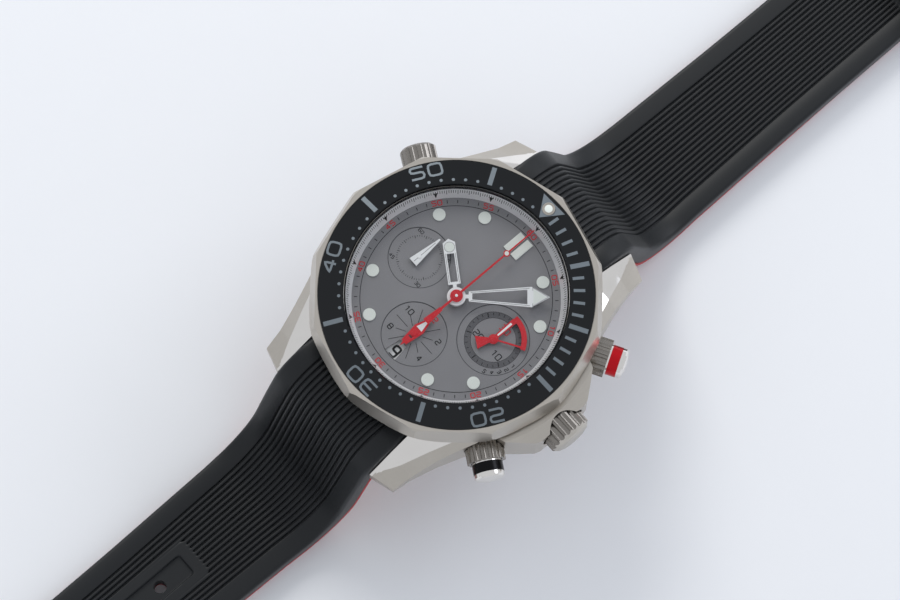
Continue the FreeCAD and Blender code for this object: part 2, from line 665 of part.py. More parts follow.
def strap_path(y_far, depth):
    """Edges along the strap's side view, at a depth below its top surface."""
    sine, cosine = math.sin(math.radians(bend)), math.cos(math.radians(bend))
    half_s, half_c = math.sin(math.radians(bend / 2)), math.cos(math.radians(bend / 2))
    r1, r2 = crest_radius - depth, foot_radius + depth
    flat_z = strap_floor + strap_flat - depth
    c1 = V(0, crest_y, crest_z - crest_radius)
    a, b = c1 + V(0, 0, r1), c1 + V(0, r1 * sine, r1 * cosine)
    mid1 = c1 + V(0, r1 * half_s, r1 * half_c)
    drop = b.z - (flat_z + r2 * (1 - cosine))
    c = b + V(0, drop * cosine / sine, -drop)
    c2 = V(0, c.y + r2 * sine, flat_z + r2)
    mid2 = c2 + V(0, -r2 * half_s, -r2 * half_c)
    d, e = V(0, c2.y, flat_z), V(0, y_far, flat_z)
    return [Part.Arc(a, mid1, b).toShape(), Part.makeLine(b, c), Part.Arc(c, mid2, d).toShape(),
            Part.makeLine(d, e)]


def strap_layer(y_far, top_depth, bottom_depth):
    """Full-width layer of the bend and the flat run between two depths."""
    top, bottom = strap_path(y_far, top_depth), strap_path(y_far, bottom_depth)
    near = Part.makeLine(top[0].valueAt(top[0].FirstParameter), bottom[0].valueAt(bottom[0].FirstParameter))
    far = Part.makeLine(top[-1].Vertexes[-1].Point, bottom[-1].Vertexes[-1].Point)
    side = Part.Face(Part.Wire(Part.__sortEdges__(top + [far] + bottom + [near])))
    return moved(side, -15).extrude(V(30, 0, 0))


def strap_plan(y_far, end_half, round_tip):
    """Plan outline of a strap half: lug width, taper, and a straight or pointed end."""
    outline = [(10.3, strap_end), (10.3, 29.0), (9.7, 42.0), (9.3, 62.0), (end_half, y_far - 7.0)]
    if round_tip:
        outline += [(end_half - 1.2, y_far - 4.0), (end_half - 4.5, y_far - 1.0), (end_half - 7.0, y_far)]
    else:
        outline += [(end_half, y_far)]
    return plate(outline + [(-x, y) for x, y in reversed(outline)], -30, 20)


def bar_tunnel(y, z, radius):
    return Part.makeCylinder(radius, 30, V(-15, y, z), V(1, 0, 0))


def strap_half(y_far, end_half, round_tip):
    """Rubber body over the lining, thickened into a block round the lug spring bar."""
    block = box(-15, 15, strap_end, crest_y + 0.01, 1.7, crest_z)
    nose = Part.makeCylinder(1.75, 30, V(-15, bar_y, bar_z), V(1, 0, 0))
    filler = box(-15, 15, crest_y, 23.0, 1.7, 5.0)
    body = fuse(strap_layer(y_far, 0, strap_flat - lining), block, nose, filler)
    body = body.common(strap_plan(y_far, end_half, round_tip))
    return body.cut(bar_tunnel(bar_y, bar_z, bar_radius + 0.06))


def strap_lining(y_far, end_half, round_tip):
    layer = strap_layer(y_far, strap_flat - lining, strap_flat)
    near_lug = box(-15, 15, 0, 40, 1.65, 20)
    bar_room = Part.makeCylinder(1.75, 30, V(-15, bar_y, bar_z), V(1, 0, 0))
    return layer.cut([near_lug, bar_room]).common(strap_plan(y_far, end_half, round_tip))


def long_half(shape):
    """Turn a half that runs to +Y over to the six o'clock side."""
    return turned(shape, 180)


def strap_holes():
    return [disc(1.0, -20, 0, 0, first_hole + hole_step * i) for i in range(hole_count)]


def strap_long():
    return long_half(strap_half(long_end, 9.0, True).cut(strap_holes()))


def strap_long_lining():
    return long_half(strap_lining(long_end, 9.0, True).cut(strap_holes()))


buckle_z = strap_floor + lining + 1.55     # buckle spring bar height
fixed_keeper_y, sliding_keeper_y, keeper_width = 100.5, 93.0, 5.0


def keeper(y, play):
    """Loop round the strap with room above it for the other half's tail."""
    half, low, high = 9.3 + play, strap_floor + lining - play, strap_floor + strap_flat + 4.4
    wall = 1.0
    outer = box(-half - wall, half + wall, y - keeper_width / 2, y + keeper_width / 2, low - 0.6, high + wall)
    outer = outer.makeFillet(0.5, [edge for edge in outer.Edges if abs(edge.tangentAt(0).y) > 0.9])
    return outer.cut(box(-half, half, y - 5, y + 5, low, high))


def strap_short():
    """Short half with its moulded keeper, a slot for the tang and a tunnel for the bar."""
    tang_slot = box(-2.0, 2.0, short_end - 4.0, short_end + 3.0, -20, -10)
    body = fuse(strap_half(short_end + 1.5, 9.0, False), keeper(fixed_keeper_y, 0.0))
    return body.cut([tang_slot, bar_tunnel(short_end, buckle_z, bar_radius + 0.06)])


def buckle_spring_bar():
    barrel = Part.makeCylinder(bar_radius, 18.2, V(-9.1, short_end, buckle_z), V(1, 0, 0))
    tips = Part.makeCylinder(bar_tip_radius, 20.4, V(-10.2, short_end, buckle_z), V(1, 0, 0))
    return fuse(barrel, tips)


def buckle_frame():
    """Pin buckle: two arms round the strap end and a cross bar for the tang."""
    z0, z1 = strap_floor, strap_floor + 4.0
    outer = plate([(9.2, short_end - 2.2), (11.4, short_end - 2.2), (11.6, short_end + 9.0),
                   (9.8, short_end + 13.6), (-9.8, short_end + 13.6), (-11.6, short_end + 9.0),
                   (-11.4, short_end - 2.2), (-9.2, short_end - 2.2), (-9.2, short_end + 9.6),
                   (9.2, short_end + 9.6)], z0, z1)
    soft = [edge for edge in outer.Edges if abs(edge.tangentAt(0).z) < 0.1]
    pin_hole = Part.makeCylinder(0.45, 21.2, V(-10.6, short_end, buckle_z), V(1, 0, 0))
    return outer.makeFillet(0.35, soft).cut(pin_hole)


def buckle_tang():
    """Tongue that turns on the spring bar and rests on the cross bar."""
    eye = Part.makeCylinder(1.6, 3.4, V(-1.7, short_end, buckle_z), V(1, 0, 0))
    top = strap_floor + 4.0
    side = [(0, buckle_z + 0.4), (9.2, top + 0.05), (13.2, top + 0.05), (13.2, top + 1.0), (9.2, top + 1.2),
            (0, buckle_z + 1.6)]
    blade = face([V(-0.9, short_end + y, z) for y, z in side]).extrude(V(1.8, 0, 0))
    return fuse(eye, blade).cut(bar_tunnel(short_end, buckle_z, bar_radius + 0.06))


# ---- assembly -----------------------------------------------------------------------
def nodes():
    return {
        "case_body": case_body(), "case_back": case_back(),
        "case_back_gasket": ring(17.4, 16.9, case_bottom, case_bottom + 0.5),
        "crystal": crystal(), "crystal_gasket": ring(neck_inner, neck_inner - 0.25, 13.16, neck_top),
        "flange_ring": flange_ring(), "movement_ring": movement_ring(),
        "bezel_click_spring": bezel_click_spring(), "bezel_ring": bezel_ring(),
        "bezel_insert": bezel_insert(), "bezel_pip": bezel_pip(),
        "lug_spring_bars": Part.makeCompound([lug_bar(1), lug_bar(-1)]),
        "crown_tube": crown_tube(), "crown": crown(), "winding_stem": winding_stem(),
        "winding_pinion": winding_pinion(),
        "pusher_collars": Part.makeCompound([pusher_collar(angle) for angle in pusher_angles.values()]),
        "pusher_springs": pusher_springs(),
        "start_pusher": pusher(pusher_angles["start"]),
        "start_pusher_ring": pusher_ring(pusher_angles["start"]),
        "reset_pusher": pusher(pusher_angles["reset"]),
        "reset_pusher_ring": pusher_ring(pusher_angles["reset"]),
        "valve_crown": valve_crown(), "valve_piston": valve_piston(),
        "dial_plate": dial_plate(), "hour_markers": hour_markers(),
        "hour_hand": hour_hand(), "minute_hand": minute_hand(), "chrono_seconds_hand": chrono_seconds_hand(),
        "small_seconds_hand": small_seconds_hand(), "hour_counter_hand": hour_counter_hand(),
        "minute_counter_hand": minute_counter_hand(),
        "main_plate": main_plate(), "train_bridge": train_bridge(), "balance_cock": balance_cock(),
        "bridge_screws": bridge_screws(), "rotor_bearing": rotor_bearing(), "rotor": rotor(),
        "barrel": barrel(), "third_wheel": third_wheel(), "fourth_wheel": fourth_wheel(),
        "escape_wheel": escape_wheel(), "pallet_lever": pallet_lever(), "balance_wheel": balance_wheel(),
        "hairspring": hairspring(), "minute_counter_wheel": counter_wheel(minutes_centre, 60),
        "hour_counter_wheel": counter_wheel(hours_centre, 44), "chrono_runner": chrono_runner(),
        "cannon_pinion": cannon_pinion(), "minute_wheel": minute_wheel(), "hour_wheel": hour_wheel(),
        "date_ring": date_ring(),
        "strap_long": strap_long(), "strap_long_lining": strap_long_lining(),
        "strap_short": strap_short(), "strap_short_lining": strap_lining(keeper_zone, 9.3, False),
        "sliding_keeper": keeper(sliding_keeper_y, 0.08),
        "buckle_spring_bar": buckle_spring_bar(), "buckle_frame": buckle_frame(), "buckle_tang": buckle_tang(),
    }


os.makedirs("parts", exist_ok=True)
for name, shape in nodes().items():
    solids = len(shape.Solids)
    print(f"{name:22s} solids {solids} valid {shape.isValid()} volume {shape.Volume:9.3f}")
    shape.exportStep(f"parts/{name}.step")
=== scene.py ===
import json
import math

import bpy
from bpy.props import FloatProperty, IntProperty, PointerProperty, StringProperty
from mathutils import Matrix, Vector


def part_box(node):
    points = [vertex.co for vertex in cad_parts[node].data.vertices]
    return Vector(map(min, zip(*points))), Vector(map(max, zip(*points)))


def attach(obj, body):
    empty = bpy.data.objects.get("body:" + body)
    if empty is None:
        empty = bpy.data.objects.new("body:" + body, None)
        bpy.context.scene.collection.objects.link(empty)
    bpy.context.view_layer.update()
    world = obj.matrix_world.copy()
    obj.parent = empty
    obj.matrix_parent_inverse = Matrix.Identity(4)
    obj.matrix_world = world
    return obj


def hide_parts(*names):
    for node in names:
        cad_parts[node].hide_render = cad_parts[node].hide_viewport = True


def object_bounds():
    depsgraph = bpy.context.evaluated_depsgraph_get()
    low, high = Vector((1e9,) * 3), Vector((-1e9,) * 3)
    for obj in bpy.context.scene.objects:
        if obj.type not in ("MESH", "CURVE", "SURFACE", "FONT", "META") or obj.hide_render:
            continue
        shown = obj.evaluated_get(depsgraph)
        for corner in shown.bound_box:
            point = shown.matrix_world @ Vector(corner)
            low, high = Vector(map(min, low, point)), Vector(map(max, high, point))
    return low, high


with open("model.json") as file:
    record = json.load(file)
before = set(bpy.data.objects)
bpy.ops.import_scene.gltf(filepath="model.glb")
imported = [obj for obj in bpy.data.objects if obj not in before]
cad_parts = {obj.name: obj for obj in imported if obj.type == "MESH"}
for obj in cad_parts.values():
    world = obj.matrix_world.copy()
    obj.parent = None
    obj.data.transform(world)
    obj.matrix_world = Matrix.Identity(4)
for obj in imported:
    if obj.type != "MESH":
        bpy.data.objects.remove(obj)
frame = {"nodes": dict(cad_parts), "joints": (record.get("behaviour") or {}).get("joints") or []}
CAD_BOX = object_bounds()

bl_info = {
    "name": "Dive watch looks",
    "version": (1, 0, 0),
    "blender": (4, 5, 0),
    "location": "3D View > Sidebar > Watch",
    "description": "Strap, dial printing, bezel marks and finishes for a dive watch",
    "category": "Object",
}

MM = 0.001
NODES = frame["nodes"]


def top_of(node):
    """Height of a node's highest point, in millimetres."""
    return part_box(node)[1].z / MM


def joint_place(name):
    """Where a joint's axis stands at rest, in millimetres."""
    return [v / MM for v in next(j for j in frame["joints"] if j["name"] == name)["pos_m"]]


DIAL = top_of("dial_plate")
SECONDS_X, SECONDS_Y = joint_place("seconds_turn")[:2]
MINUTES_X, MINUTES_Y = joint_place("minute_counter_turn")[:2]
HOURS_X, HOURS_Y = joint_place("hour_counter_turn")[:2]
FLOOR = CAD_BOX[0].z / MM


# ---- settings a user would change --------------------------------------------------
class StrapSettings(bpy.types.PropertyGroup):
    """Sizes of the ribbed rubber strap."""
    grooves: IntProperty(name="Grooves", description="Grooves across each strap half", default=17, min=3)
    groove_depth: FloatProperty(name="Groove depth", description="Depth of a groove in millimetres", default=0.55)
    border: FloatProperty(name="Border", description="Plain border beside the grooves in millimetres", default=2.9)
    rubber: StringProperty(name="Rubber", description="Colour of the strap rubber", default="#070c11")
    lining: StringProperty(name="Lining", description="Colour of the strap lining", default="#b02a30")


class DialSettings(bpy.types.PropertyGroup):
    """Colours and ink sizes of the dial and bezel."""
    dial: StringProperty(name="Dial", description="Colour of the dial lacquer", default="#8b8b8e")
    flange: StringProperty(name="Flange", description="Colour of the sloping minute ring", default="#f3f3f5")
    red: StringProperty(name="Red", description="Colour of the red lacquer and ink", default="#cf2430")
    ink: FloatProperty(name="Ink", description="Thickness of the printed ink in millimetres", default=0.02)


class CaseSettings(bpy.types.PropertyGroup):
    """Colours of the case metals and the bezel insert."""
    titanium: StringProperty(name="Titanium", description="Colour of the satin titanium", default="#c2bcb3")
    # the polished colour is lighter than titanium can be: painted highlight on the polished facets
    polished: StringProperty(name="Polished", description="Colour of the polished facets", default="#ece8e3")
    insert: StringProperty(name="Insert", description="Colour of the ceramic insert", default="#06090d")
    marks: StringProperty(name="Marks", description="Colour of the marks on the insert", default="#7c848a")


class StageSettings(bpy.types.PropertyGroup):
    """Camera and light of the stage."""
    lens: FloatProperty(name="Lens", description="Focal length on a 36 mm sensor", default=193.8, unit="CAMERA")
    floor: StringProperty(name="Floor", description="Colour of the table", default="#eceef2")


# ---- shader helpers ----------------------------------------------------------------
def colour(code):
    """Turn an sRGB hex value into the linear colour that a shader takes."""
    channels = [int(code[i:i + 2], 16) / 255 for i in (1, 3, 5)]
    linear = [c / 12.92 if c <= 0.04045 else ((c + 0.055) / 1.055) ** 2.4 for c in channels]
    return (*linear, 1.0)


def add_node(tree, kind, inputs=None, **settings):
    """Add a shader node, set it up, and give its inputs values or links."""
    node = tree.nodes.new(kind)
    for name, value in settings.items():
        setattr(node, name, value)
    for socket, value in (inputs or {}).items():
        if isinstance(value, bpy.types.NodeSocket):
            tree.links.new(value, node.inputs[socket])
        else:
            node.inputs[socket].default_value = value
    return node


def surface(name, code, metallic, roughness, grain, stretch=(1, 1, 1), relief=0.0, tint=0.12, sweep=0.06,
            rings=False, **sockets):
    """Surface whose colour, gloss and relief follow one noise; grain is its size in millimetres."""
    made = bpy.data.materials.new(name)
    made.use_nodes = True
    tree = made.node_tree
    shader = tree.nodes["Principled BSDF"]
    place = add_node(tree, "ShaderNodeTexCoord").outputs["Object"]
    if rings:
        flat = add_node(tree, "ShaderNodeMapping", {"Vector": place, "Scale": (1, 1, 0)})
        reach = add_node(tree, "ShaderNodeVectorMath", {0: flat.outputs[0]}, operation="LENGTH")
        split = add_node(tree, "ShaderNodeSeparateXYZ", {0: place})
        height = split.outputs["Z"]
        place = add_node(tree, "ShaderNodeCombineXYZ", {"X": reach.outputs["Value"], "Z": height}).outputs[0]
    laid = add_node(tree, "ShaderNodeMapping", {"Vector": place, "Scale": stretch})
    fine = add_node(tree, "ShaderNodeTexNoise", {"Vector": laid.outputs[0], "Scale": 1 / (grain * MM),
                                                 "Detail": 4.0})
    broad = add_node(tree, "ShaderNodeTexNoise", {"Vector": place, "Scale": 1 / (6 * MM), "Detail": 2.0})
    base = colour(code)
    dark = tuple(c * (1 - tint) for c in base[:3]) + (1.0,)
    light = tuple(min(1.0, c * (1 + tint)) for c in base[:3]) + (1.0,)
    blend = add_node(tree, "ShaderNodeMath", {0: fine.outputs["Fac"], 1: broad.outputs["Fac"], 2: 0.2},
                     operation="MULTIPLY_ADD")
    mixed = add_node(tree, "ShaderNodeMix", {"Factor": blend.outputs[0], 6: dark, 7: light}, data_type="RGBA")
    gloss = add_node(tree, "ShaderNodeMapRange", {"Value": fine.outputs["Fac"], "To Min": roughness - sweep,
                                                  "To Max": roughness + sweep})
    tree.links.new(mixed.outputs[2], shader.inputs["Base Color"])
    tree.links.new(gloss.outputs[0], shader.inputs["Roughness"])
    shader.inputs["Metallic"].default_value = metallic
    if relief:
        bump = add_node(tree, "ShaderNodeBump", {"Height": fine.outputs["Fac"], "Distance": relief * MM,
                                                 "Strength": 1.0})
        tree.links.new(bump.outputs[0], shader.inputs["Normal"])
    for socket, value in sockets.items():
        shader.inputs[socket.replace("_", " ")].default_value = value
    return made


# ---- finishes, each named for the real one -----------------------------------------
def satin_titanium(code):
    """Blasted and lightly brushed titanium: warm, soft gloss, fine lengthwise streaks."""
    return surface("satin_titanium", code, 1.0, 0.36, 0.35, (1, 0.12, 1), relief=0.004, tint=0.10)


def turned_titanium(code):
    """Lathe-turned titanium: rings of fine streaks round the watch's axis."""
    return surface("turned_titanium", code, 1.0, 0.30, 0.12, rings=True, relief=0.003, tint=0.08)


def polished_titanium(code):
    """Mirror-polished facet that only breaks its reflection a little; its base colour is lighter than the satin
    titanium, a painted highlight.
    """
    return surface("polished_titanium", code, 1.0, 0.12, 1.5, tint=0.04, sweep=0.03)


def knurled_titanium():
    """Machined grip metal, brushed along its flutes and a little darker than the case titanium."""
    return surface("machined_titanium", "#8f8a84", 1.0, 0.28, 0.2, (1, 1, 1), relief=0.003, tint=0.16)


def zirconia_ceramic(code):
    """Polished black ceramic with a hard gloss and barely visible fine scratches."""
    return surface("zirconia_ceramic", code, 0.0, 0.10, 0.4, tint=0.10, sweep=0.04, Specular_IOR_Level=0.35)


def sapphire_glass():
    """Coated sapphire: almost clear from above, with a faint cool reflection."""
    made = bpy.data.materials.new("sapphire_glass")
    made.use_nodes = True
    tree = made.node_tree
    shader = tree.nodes["Principled BSDF"]
    place = add_node(tree, "ShaderNodeTexCoord").outputs["Object"]
    smear = add_node(tree, "ShaderNodeTexNoise", {"Vector": place, "Scale": 1 / (5 * MM), "Detail": 3.0})
    haze = add_node(tree, "ShaderNodeMapRange", {"Value": smear.outputs["Fac"], "To Min": 0.02, "To Max": 0.06})
    tree.links.new(haze.outputs[0], shader.inputs["Roughness"])
    shader.inputs["Base Color"].default_value = colour("#10151c")
    edge = add_node(tree, "ShaderNodeLayerWeight", {"Blend": 0.25})
    veil = add_node(tree, "ShaderNodeMapRange", {"Value": edge.outputs["Facing"], "To Min": 0.035, "To Max": 0.5})
    tree.links.new(veil.outputs[0], shader.inputs["Alpha"])
    return made


def dial_lacquer(code):
    """Matt grey lacquer over fine metallic grain."""
    return surface("dial_lacquer", code, 0.25, 0.52, 0.10, relief=0.002, tint=0.14)


def flange_lacquer(code):
    """Silver-white lacquer on the sloping ring, with a soft sheen."""
    return surface("flange_lacquer", code, 0.15, 0.38, 0.3, tint=0.05)


def white_lacquer():
    """Bright white lacquer on the hands, smooth as enamel."""
    return surface("white_lacquer", "#f1f3f4", 0.0, 0.25, 0.6, tint=0.03)


def red_lacquer(code):
    """Red lacquer on the small hands, thin enough to stay flat."""
    return surface("red_lacquer", code, 0.0, 0.30, 0.5, tint=0.06)


def luminous_paint():
    """Strontium aluminate paint: chalky, faintly green white with a grainy surface."""
    return surface("luminous_paint", "#e6ece6", 0.0, 0.60, 0.12, relief=0.004, tint=0.06)


def printing_ink(name, code):
    """Pad-printed ink, flat and slightly uneven at its edges."""
    return surface(name, code, 0.0, 0.50, 0.15, tint=0.10)


def inlaid_metal(code):
    """Metal alloy set flush in the ceramic: grey in the light, nearly black away from it."""
    return surface("inlaid_metal", code, 0.85, 0.34, 0.25, tint=0.08)


def anodised_aluminium(name, code):
    """Dyed anodised aluminium: metallic colour with a fine turned grain."""
    return surface(name, code, 0.75, 0.24, 0.15, (1, 1, 1), relief=0.002, tint=0.10)


def moulded_rubber(code):
    """Moulded fluoroelastomer: dark, dry, with fine mould grain and a grey bloom at grazing light."""
    return surface("moulded_rubber", code, 0.0, 0.50, 0.16, relief=0.010, tint=0.18, Specular_IOR_Level=0.4,
                   Sheen_Weight=0.06, Sheen_Roughness=0.5)


def lining_rubber(code):
    """Red rubber of the lining, a little softer and duller than the top."""
    return surface("lining_rubber", code, 0.0, 0.56, 0.2, relief=0.008, tint=0.10)


def rhodium_plate():
    """Rhodium-plated bridges with a fine frosted grain."""
    return surface("rhodium_plate", "#b9b7b2", 1.0, 0.32, 0.25, relief=0.003)


def gilt_brass():
    """Gilt brass wheels, brushed in rings."""
    return surface("gilt_brass", "#c9a45a", 1.0, 0.26, 0.2, relief=0.002)


def hardened_steel():
    """Polished hardened steel of arbors, springs and screws."""
    return surface("hardened_steel", "#a9aaad", 1.0, 0.2, 0.3, tint=0.08)


def date_disc_paint():
    """White paint of the date ring."""
    return surface("date_disc_paint", "#eceded", 0.0, 0.45, 0.3, tint=0.03)


FINISHES = {}


def make_finishes(scene):
    """Make every finish once, from the colours in the settings."""
    dial, case, strap = scene.watch_dial, scene.watch_case, scene.watch_strap
    FINISHES.update(
        satin=satin_titanium(case.titanium), turned=turned_titanium(case.titanium),
        polished=polished_titanium(case.polished), knurled=knurled_titanium(),
        ceramic=zirconia_ceramic(case.insert), sapphire=sapphire_glass(), dial=dial_lacquer(dial.dial),
        flange=flange_lacquer(dial.flange), white=white_lacquer(), red=red_lacquer(dial.red),
        lume=luminous_paint(), black_ink=printing_ink("black_ink", "#15171a"),
        red_ink=printing_ink("red_ink", dial.red), marks=inlaid_metal(case.marks),
        pale_ink=printing_ink("pale_ink", "#8d8e91"), line_ink=printing_ink("line_ink", "#34363a"),
        track_ink=printing_ink("track_ink", "#5d5d61"),
        red_ring=anodised_aluminium("red_anodising", "#c4131f"),
        black_ring=anodised_aluminium("black_anodising", "#0b0c0e"),
        rubber=moulded_rubber(strap.rubber), lining=lining_rubber(strap.lining),
        rhodium=rhodium_plate(), brass=gilt_brass(), steel=hardened_steel(), date=date_disc_paint())


NODE_FINISH = {
    "satin": ("case_body", "case_back", "crown_tube", "buckle_frame", "buckle_tang"),
    "turned": ("bezel_ring", "bezel_pip"),
    "knurled": ("crown", "pusher_collars", "valve_crown"),
    # these parts are really polished; the lighter polished colour on them is painted highlight
    "polished": ("start_pusher", "reset_pusher", "lug_spring_bars", "buckle_spring_bar", "valve_piston"),
    "ceramic": ("bezel_insert",),
    "sapphire": ("crystal",),
    "dial": ("dial_plate",),
    "flange": ("flange_ring",),
    "white": ("hour_hand", "minute_hand", "small_seconds_hand"),
    "red": ("chrono_seconds_hand", "hour_counter_hand", "minute_counter_hand"),
    "lume": ("hour_markers",),
    "red_ring": ("start_pusher_ring",),
    "black_ring": ("reset_pusher_ring", "case_back_gasket", "crystal_gasket"),
    "rhodium": ("main_plate", "train_bridge", "balance_cock", "movement_ring", "rotor"),
    "brass": ("barrel", "third_wheel", "fourth_wheel", "hour_wheel", "minute_wheel", "chrono_runner",
              "minute_counter_wheel", "hour_counter_wheel", "balance_wheel", "cannon_pinion"),
    "steel": ("bridge_screws", "rotor_bearing", "escape_wheel", "pallet_lever", "hairspring", "pusher_springs",
              "winding_stem", "winding_pinion", "bezel_click_spring"),
    "date": ("date_ring",),
}


# ---- mesh helpers ------------------------------------------------------------------
def deselect():
    """Leave nothing selected, so that an operator acts only on what comes next."""
    bpy.ops.object.select_all(action="DESELECT")


def choose(obj):
    """Make obj the only selected object and the active one."""
    deselect()
    obj.select_set(True)
    bpy.context.view_layer.objects.active = obj


def settle(obj):
    """Put the object's place into its mesh, so that the object itself sits at the origin."""
    choose(obj)
    bpy.ops.object.transform_apply(location=True, rotation=True, scale=True)


def apply_modifier(obj, kind, **settings):
    """Add a modifier with its settings and apply it at once."""
    choose(obj)
    added = obj.modifiers.new(kind.lower(), kind)
    for name, value in settings.items():
        setattr(added, name, value)
    bpy.ops.object.modifier_apply(modifier=added.name)


def finish_piece(obj, body, finish, smooth=35):
    """Shade a new piece smooth, give it its finish and hang it on its body."""
    choose(obj)
    if smooth:
        bpy.ops.object.shade_smooth_by_angle(angle=math.radians(smooth))
    obj.data.materials.clear()
    obj.data.materials.append(FINISHES[finish])
    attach(obj, body)
    return obj


def mesh_object(name, points, faces):
    """Object from points in millimetres and faces."""
    mesh = bpy.data.meshes.new(name)
    mesh.from_pydata([Vector(p) * MM for p in points], [], faces)
    made = bpy.data.objects.new(name, mesh)
    bpy.context.scene.collection.objects.link(made)
    return made


def loft(name, sections):
    """Closed skin over rings of equal length, given in order, with a cap at each end."""
    count = len(sections[0])
    points = [p for section in sections for p in section]
    faces = []
    for row in range(len(sections) - 1):
        for i in range(count):
            j = (i + 1) % count
            a, b = row * count, (row + 1) * count
            faces.append((a + i, a + j, b + j, b + i))
    faces.append(tuple(range(count))[::-1])
    faces.append(tuple(range(len(points) - count, len(points))))
    made = mesh_object(name, points, faces)
    choose(made)
    bpy.ops.object.mode_set(mode="EDIT")
    bpy.ops.mesh.select_all(action="SELECT")
    bpy.ops.mesh.normals_make_consistent(inside=False)
    bpy.ops.object.mode_set(mode="OBJECT")
    return made


# ---- flat marks, drawn in millimetres and laid on a surface -------------------------
def around(radius, clock):
    """Point at a radius and a clockwise angle from twelve, in degrees."""
    return radius * math.sin(math.radians(clock)), radius * math.cos(math.radians(clock))


def moved_patch(patch, x=0.0, y=0.0, turn=0.0):
    """Patch turned clockwise about its origin, then moved."""
    c, s = math.cos(math.radians(turn)), math.sin(math.radians(turn))
    points, faces = patch
    return [(x + px * c + py * s, y - px * s + py * c) for px, py in points], faces


def bar_patch(width, low, high, top_width=None):
    """Upright bar about the Y axis."""
    a, b = width / 2, (width if top_width is None else top_width) / 2
    return [(-a, low), (a, low), (b, high), (-b, high)], [(0, 1, 2, 3)]


def dot_patch(radius, sides=20):
    """Flat disc about the origin."""
    return [around(radius, -360 * i / sides) for i in range(sides)], [tuple(range(sides))]


def triangle_patch(width, low, high):
    """Triangle on a base at one height, with its tip at the other."""
    return [(-width / 2, low), (width / 2, low), (0, high)], [(0, 1, 2) if high > low else (0, 2, 1)]


def ring_patch(outer, inner, start=0.0, sweep=360.0):
    """Flat ring or part of a ring, with a step of about 3 degrees."""
    steps = max(4, int(sweep / 3))
    closed = sweep >= 360
    count = steps if closed else steps + 1
    points = []
    for i in range(count):
        clock = start + sweep * i / steps
        points += [around(inner, clock), around(outer, clock)]
    faces = []
    for i in range(steps):
        a, b = 2 * i, 2 * ((i + 1) % count)
        faces.append((a, a + 1, b + 1, b))
    return points, [face[::-1] for face in faces]


def rounded_path(corners, radius, closed):
    """Replace each corner of a path by a short arc of three points."""
    count = len(corners)
    path = []
    for i, corner in enumerate(corners):
        if not closed and i in (0, count - 1):
            path.append(corner)
            continue
        corner = Vector(corner)
        before, after = Vector(corners[i - 1]), Vector(corners[(i + 1) % count])
        reach_in = min(radius, (before - corner).length * 0.45)
        reach_out = min(radius, (after - corner).length * 0.45)
        start = corner + (before - corner).normalized() * reach_in
        end = corner + (after - corner).normalized() * reach_out
        middle = (start + end) * 0.25 + corner * 0.5
        path += [tuple(start), tuple(middle), tuple(end)]
    return path


def stroke_patch(corners, width, radius=0.0, closed=False):
    """Flat line of one width along a path, with mitred joints."""
    path = [Vector(p) for p in (rounded_path(corners, radius, closed) if radius else corners)]
    count = len(path)
    points = []
    for i, here in enumerate(path):
        if closed or 0 < i < count - 1:
            into, out = (here - path[i - 1]).normalized(), (path[(i + 1) % count] - here).normalized()
        elif i == 0:
            into = out = (path[1] - here).normalized()
        else:
            into = out = (here - path[i - 1]).normalized()
        side = Vector((-(into + out).y, (into + out).x)).normalized()
        reach = width / 2 / max(0.5, side.dot(Vector((-out.y, out.x))))
        points += [tuple(here - side * reach), tuple(here + side * reach)]
    faces = []
    for i in range(count if closed else count - 1):
        a, b = 2 * i, 2 * ((i + 1) % count)
        faces.append((a, b, b + 1, a + 1))
    return points, faces


STROKES = {
    "0": [([(0, 0), (1, 0), (1, 1), (0, 1)], True)],
    "1": [([(0.15, 0.78), (0.6, 1), (0.6, 0)], False)],
    "2": [([(0, 1), (1, 1), (1, 0.5), (0, 0.5), (0, 0), (1, 0)], False)],
    "3": [([(0, 1), (1, 1), (1, 0), (0, 0)], False), ([(0.2, 0.5), (1, 0.5)], False)],
    "4": [([(0.75, 0), (0.75, 1), (0, 0.3), (1, 0.3)], False)],
    "5": [([(1, 1), (0, 1), (0, 0.55), (1, 0.55), (1, 0), (0, 0)], False)],
    "6": [([(1, 1), (0, 1), (0, 0), (1, 0), (1, 0.52), (0, 0.52)], False)],
    "7": [([(0, 1), (1, 1), (0.35, 0)], False)],
    "8": [([(0, 0), (1, 0), (1, 1), (0, 1)], True), ([(0, 0.5), (1, 0.5)], False)],
    "9": [([(0, 0), (1, 0), (1, 1), (0, 1), (0, 0.48), (1, 0.48)], False)],
}


def number_patches(number, height, width, stroke, gap):
    """Digits of a number drawn with rounded strokes, centred on the origin."""
    digits = str(number)
    whole = len(digits) * width + (len(digits) - 1) * gap
    patches = []
    for place, digit in enumerate(digits):
        left = place * (width + gap) - whole / 2
        for corners, closed in STROKES[digit]:
            path = [(left + x * width, (y - 0.5) * height) for x, y in corners]
            patches.append(stroke_patch(path, stroke, min(width, height) * 0.28, closed))
    return patches


def at(patches, x, y, turn=0.0):
    """Patches turned clockwise about their origin, then moved."""
    return [moved_patch(patch, x, y, turn) for patch in patches]


def print_marks(name, patches, lift, thickness, body, finish):
    """Lay patches on a surface whose height is lift(x, y), and give them the ink's thickness."""
    points, faces = [], []
    for patch_points, patch_faces in patches:
        start = len(points)
        points += [(x, y, lift(x, y) - thickness * 0.3) for x, y in patch_points]
        faces += [tuple(start + i for i in face) for face in patch_faces]
    made = mesh_object(name, points, faces)
    apply_modifier(made, "SOLIDIFY", thickness=thickness * MM, offset=1.0)
    return finish_piece(made, body, finish, smooth=0)


def flat(height):
    """Surface that stands at one height everywhere."""
    return lambda x, y: height


def cone(inner, inner_height, outer, outer_height):
    """Height of a cone that runs straight from an inner to an outer radius."""
    slope = (outer_height - inner_height) / (outer - inner)
    return lambda x, y: inner_height + (math.hypot(x, y) - inner) * slope


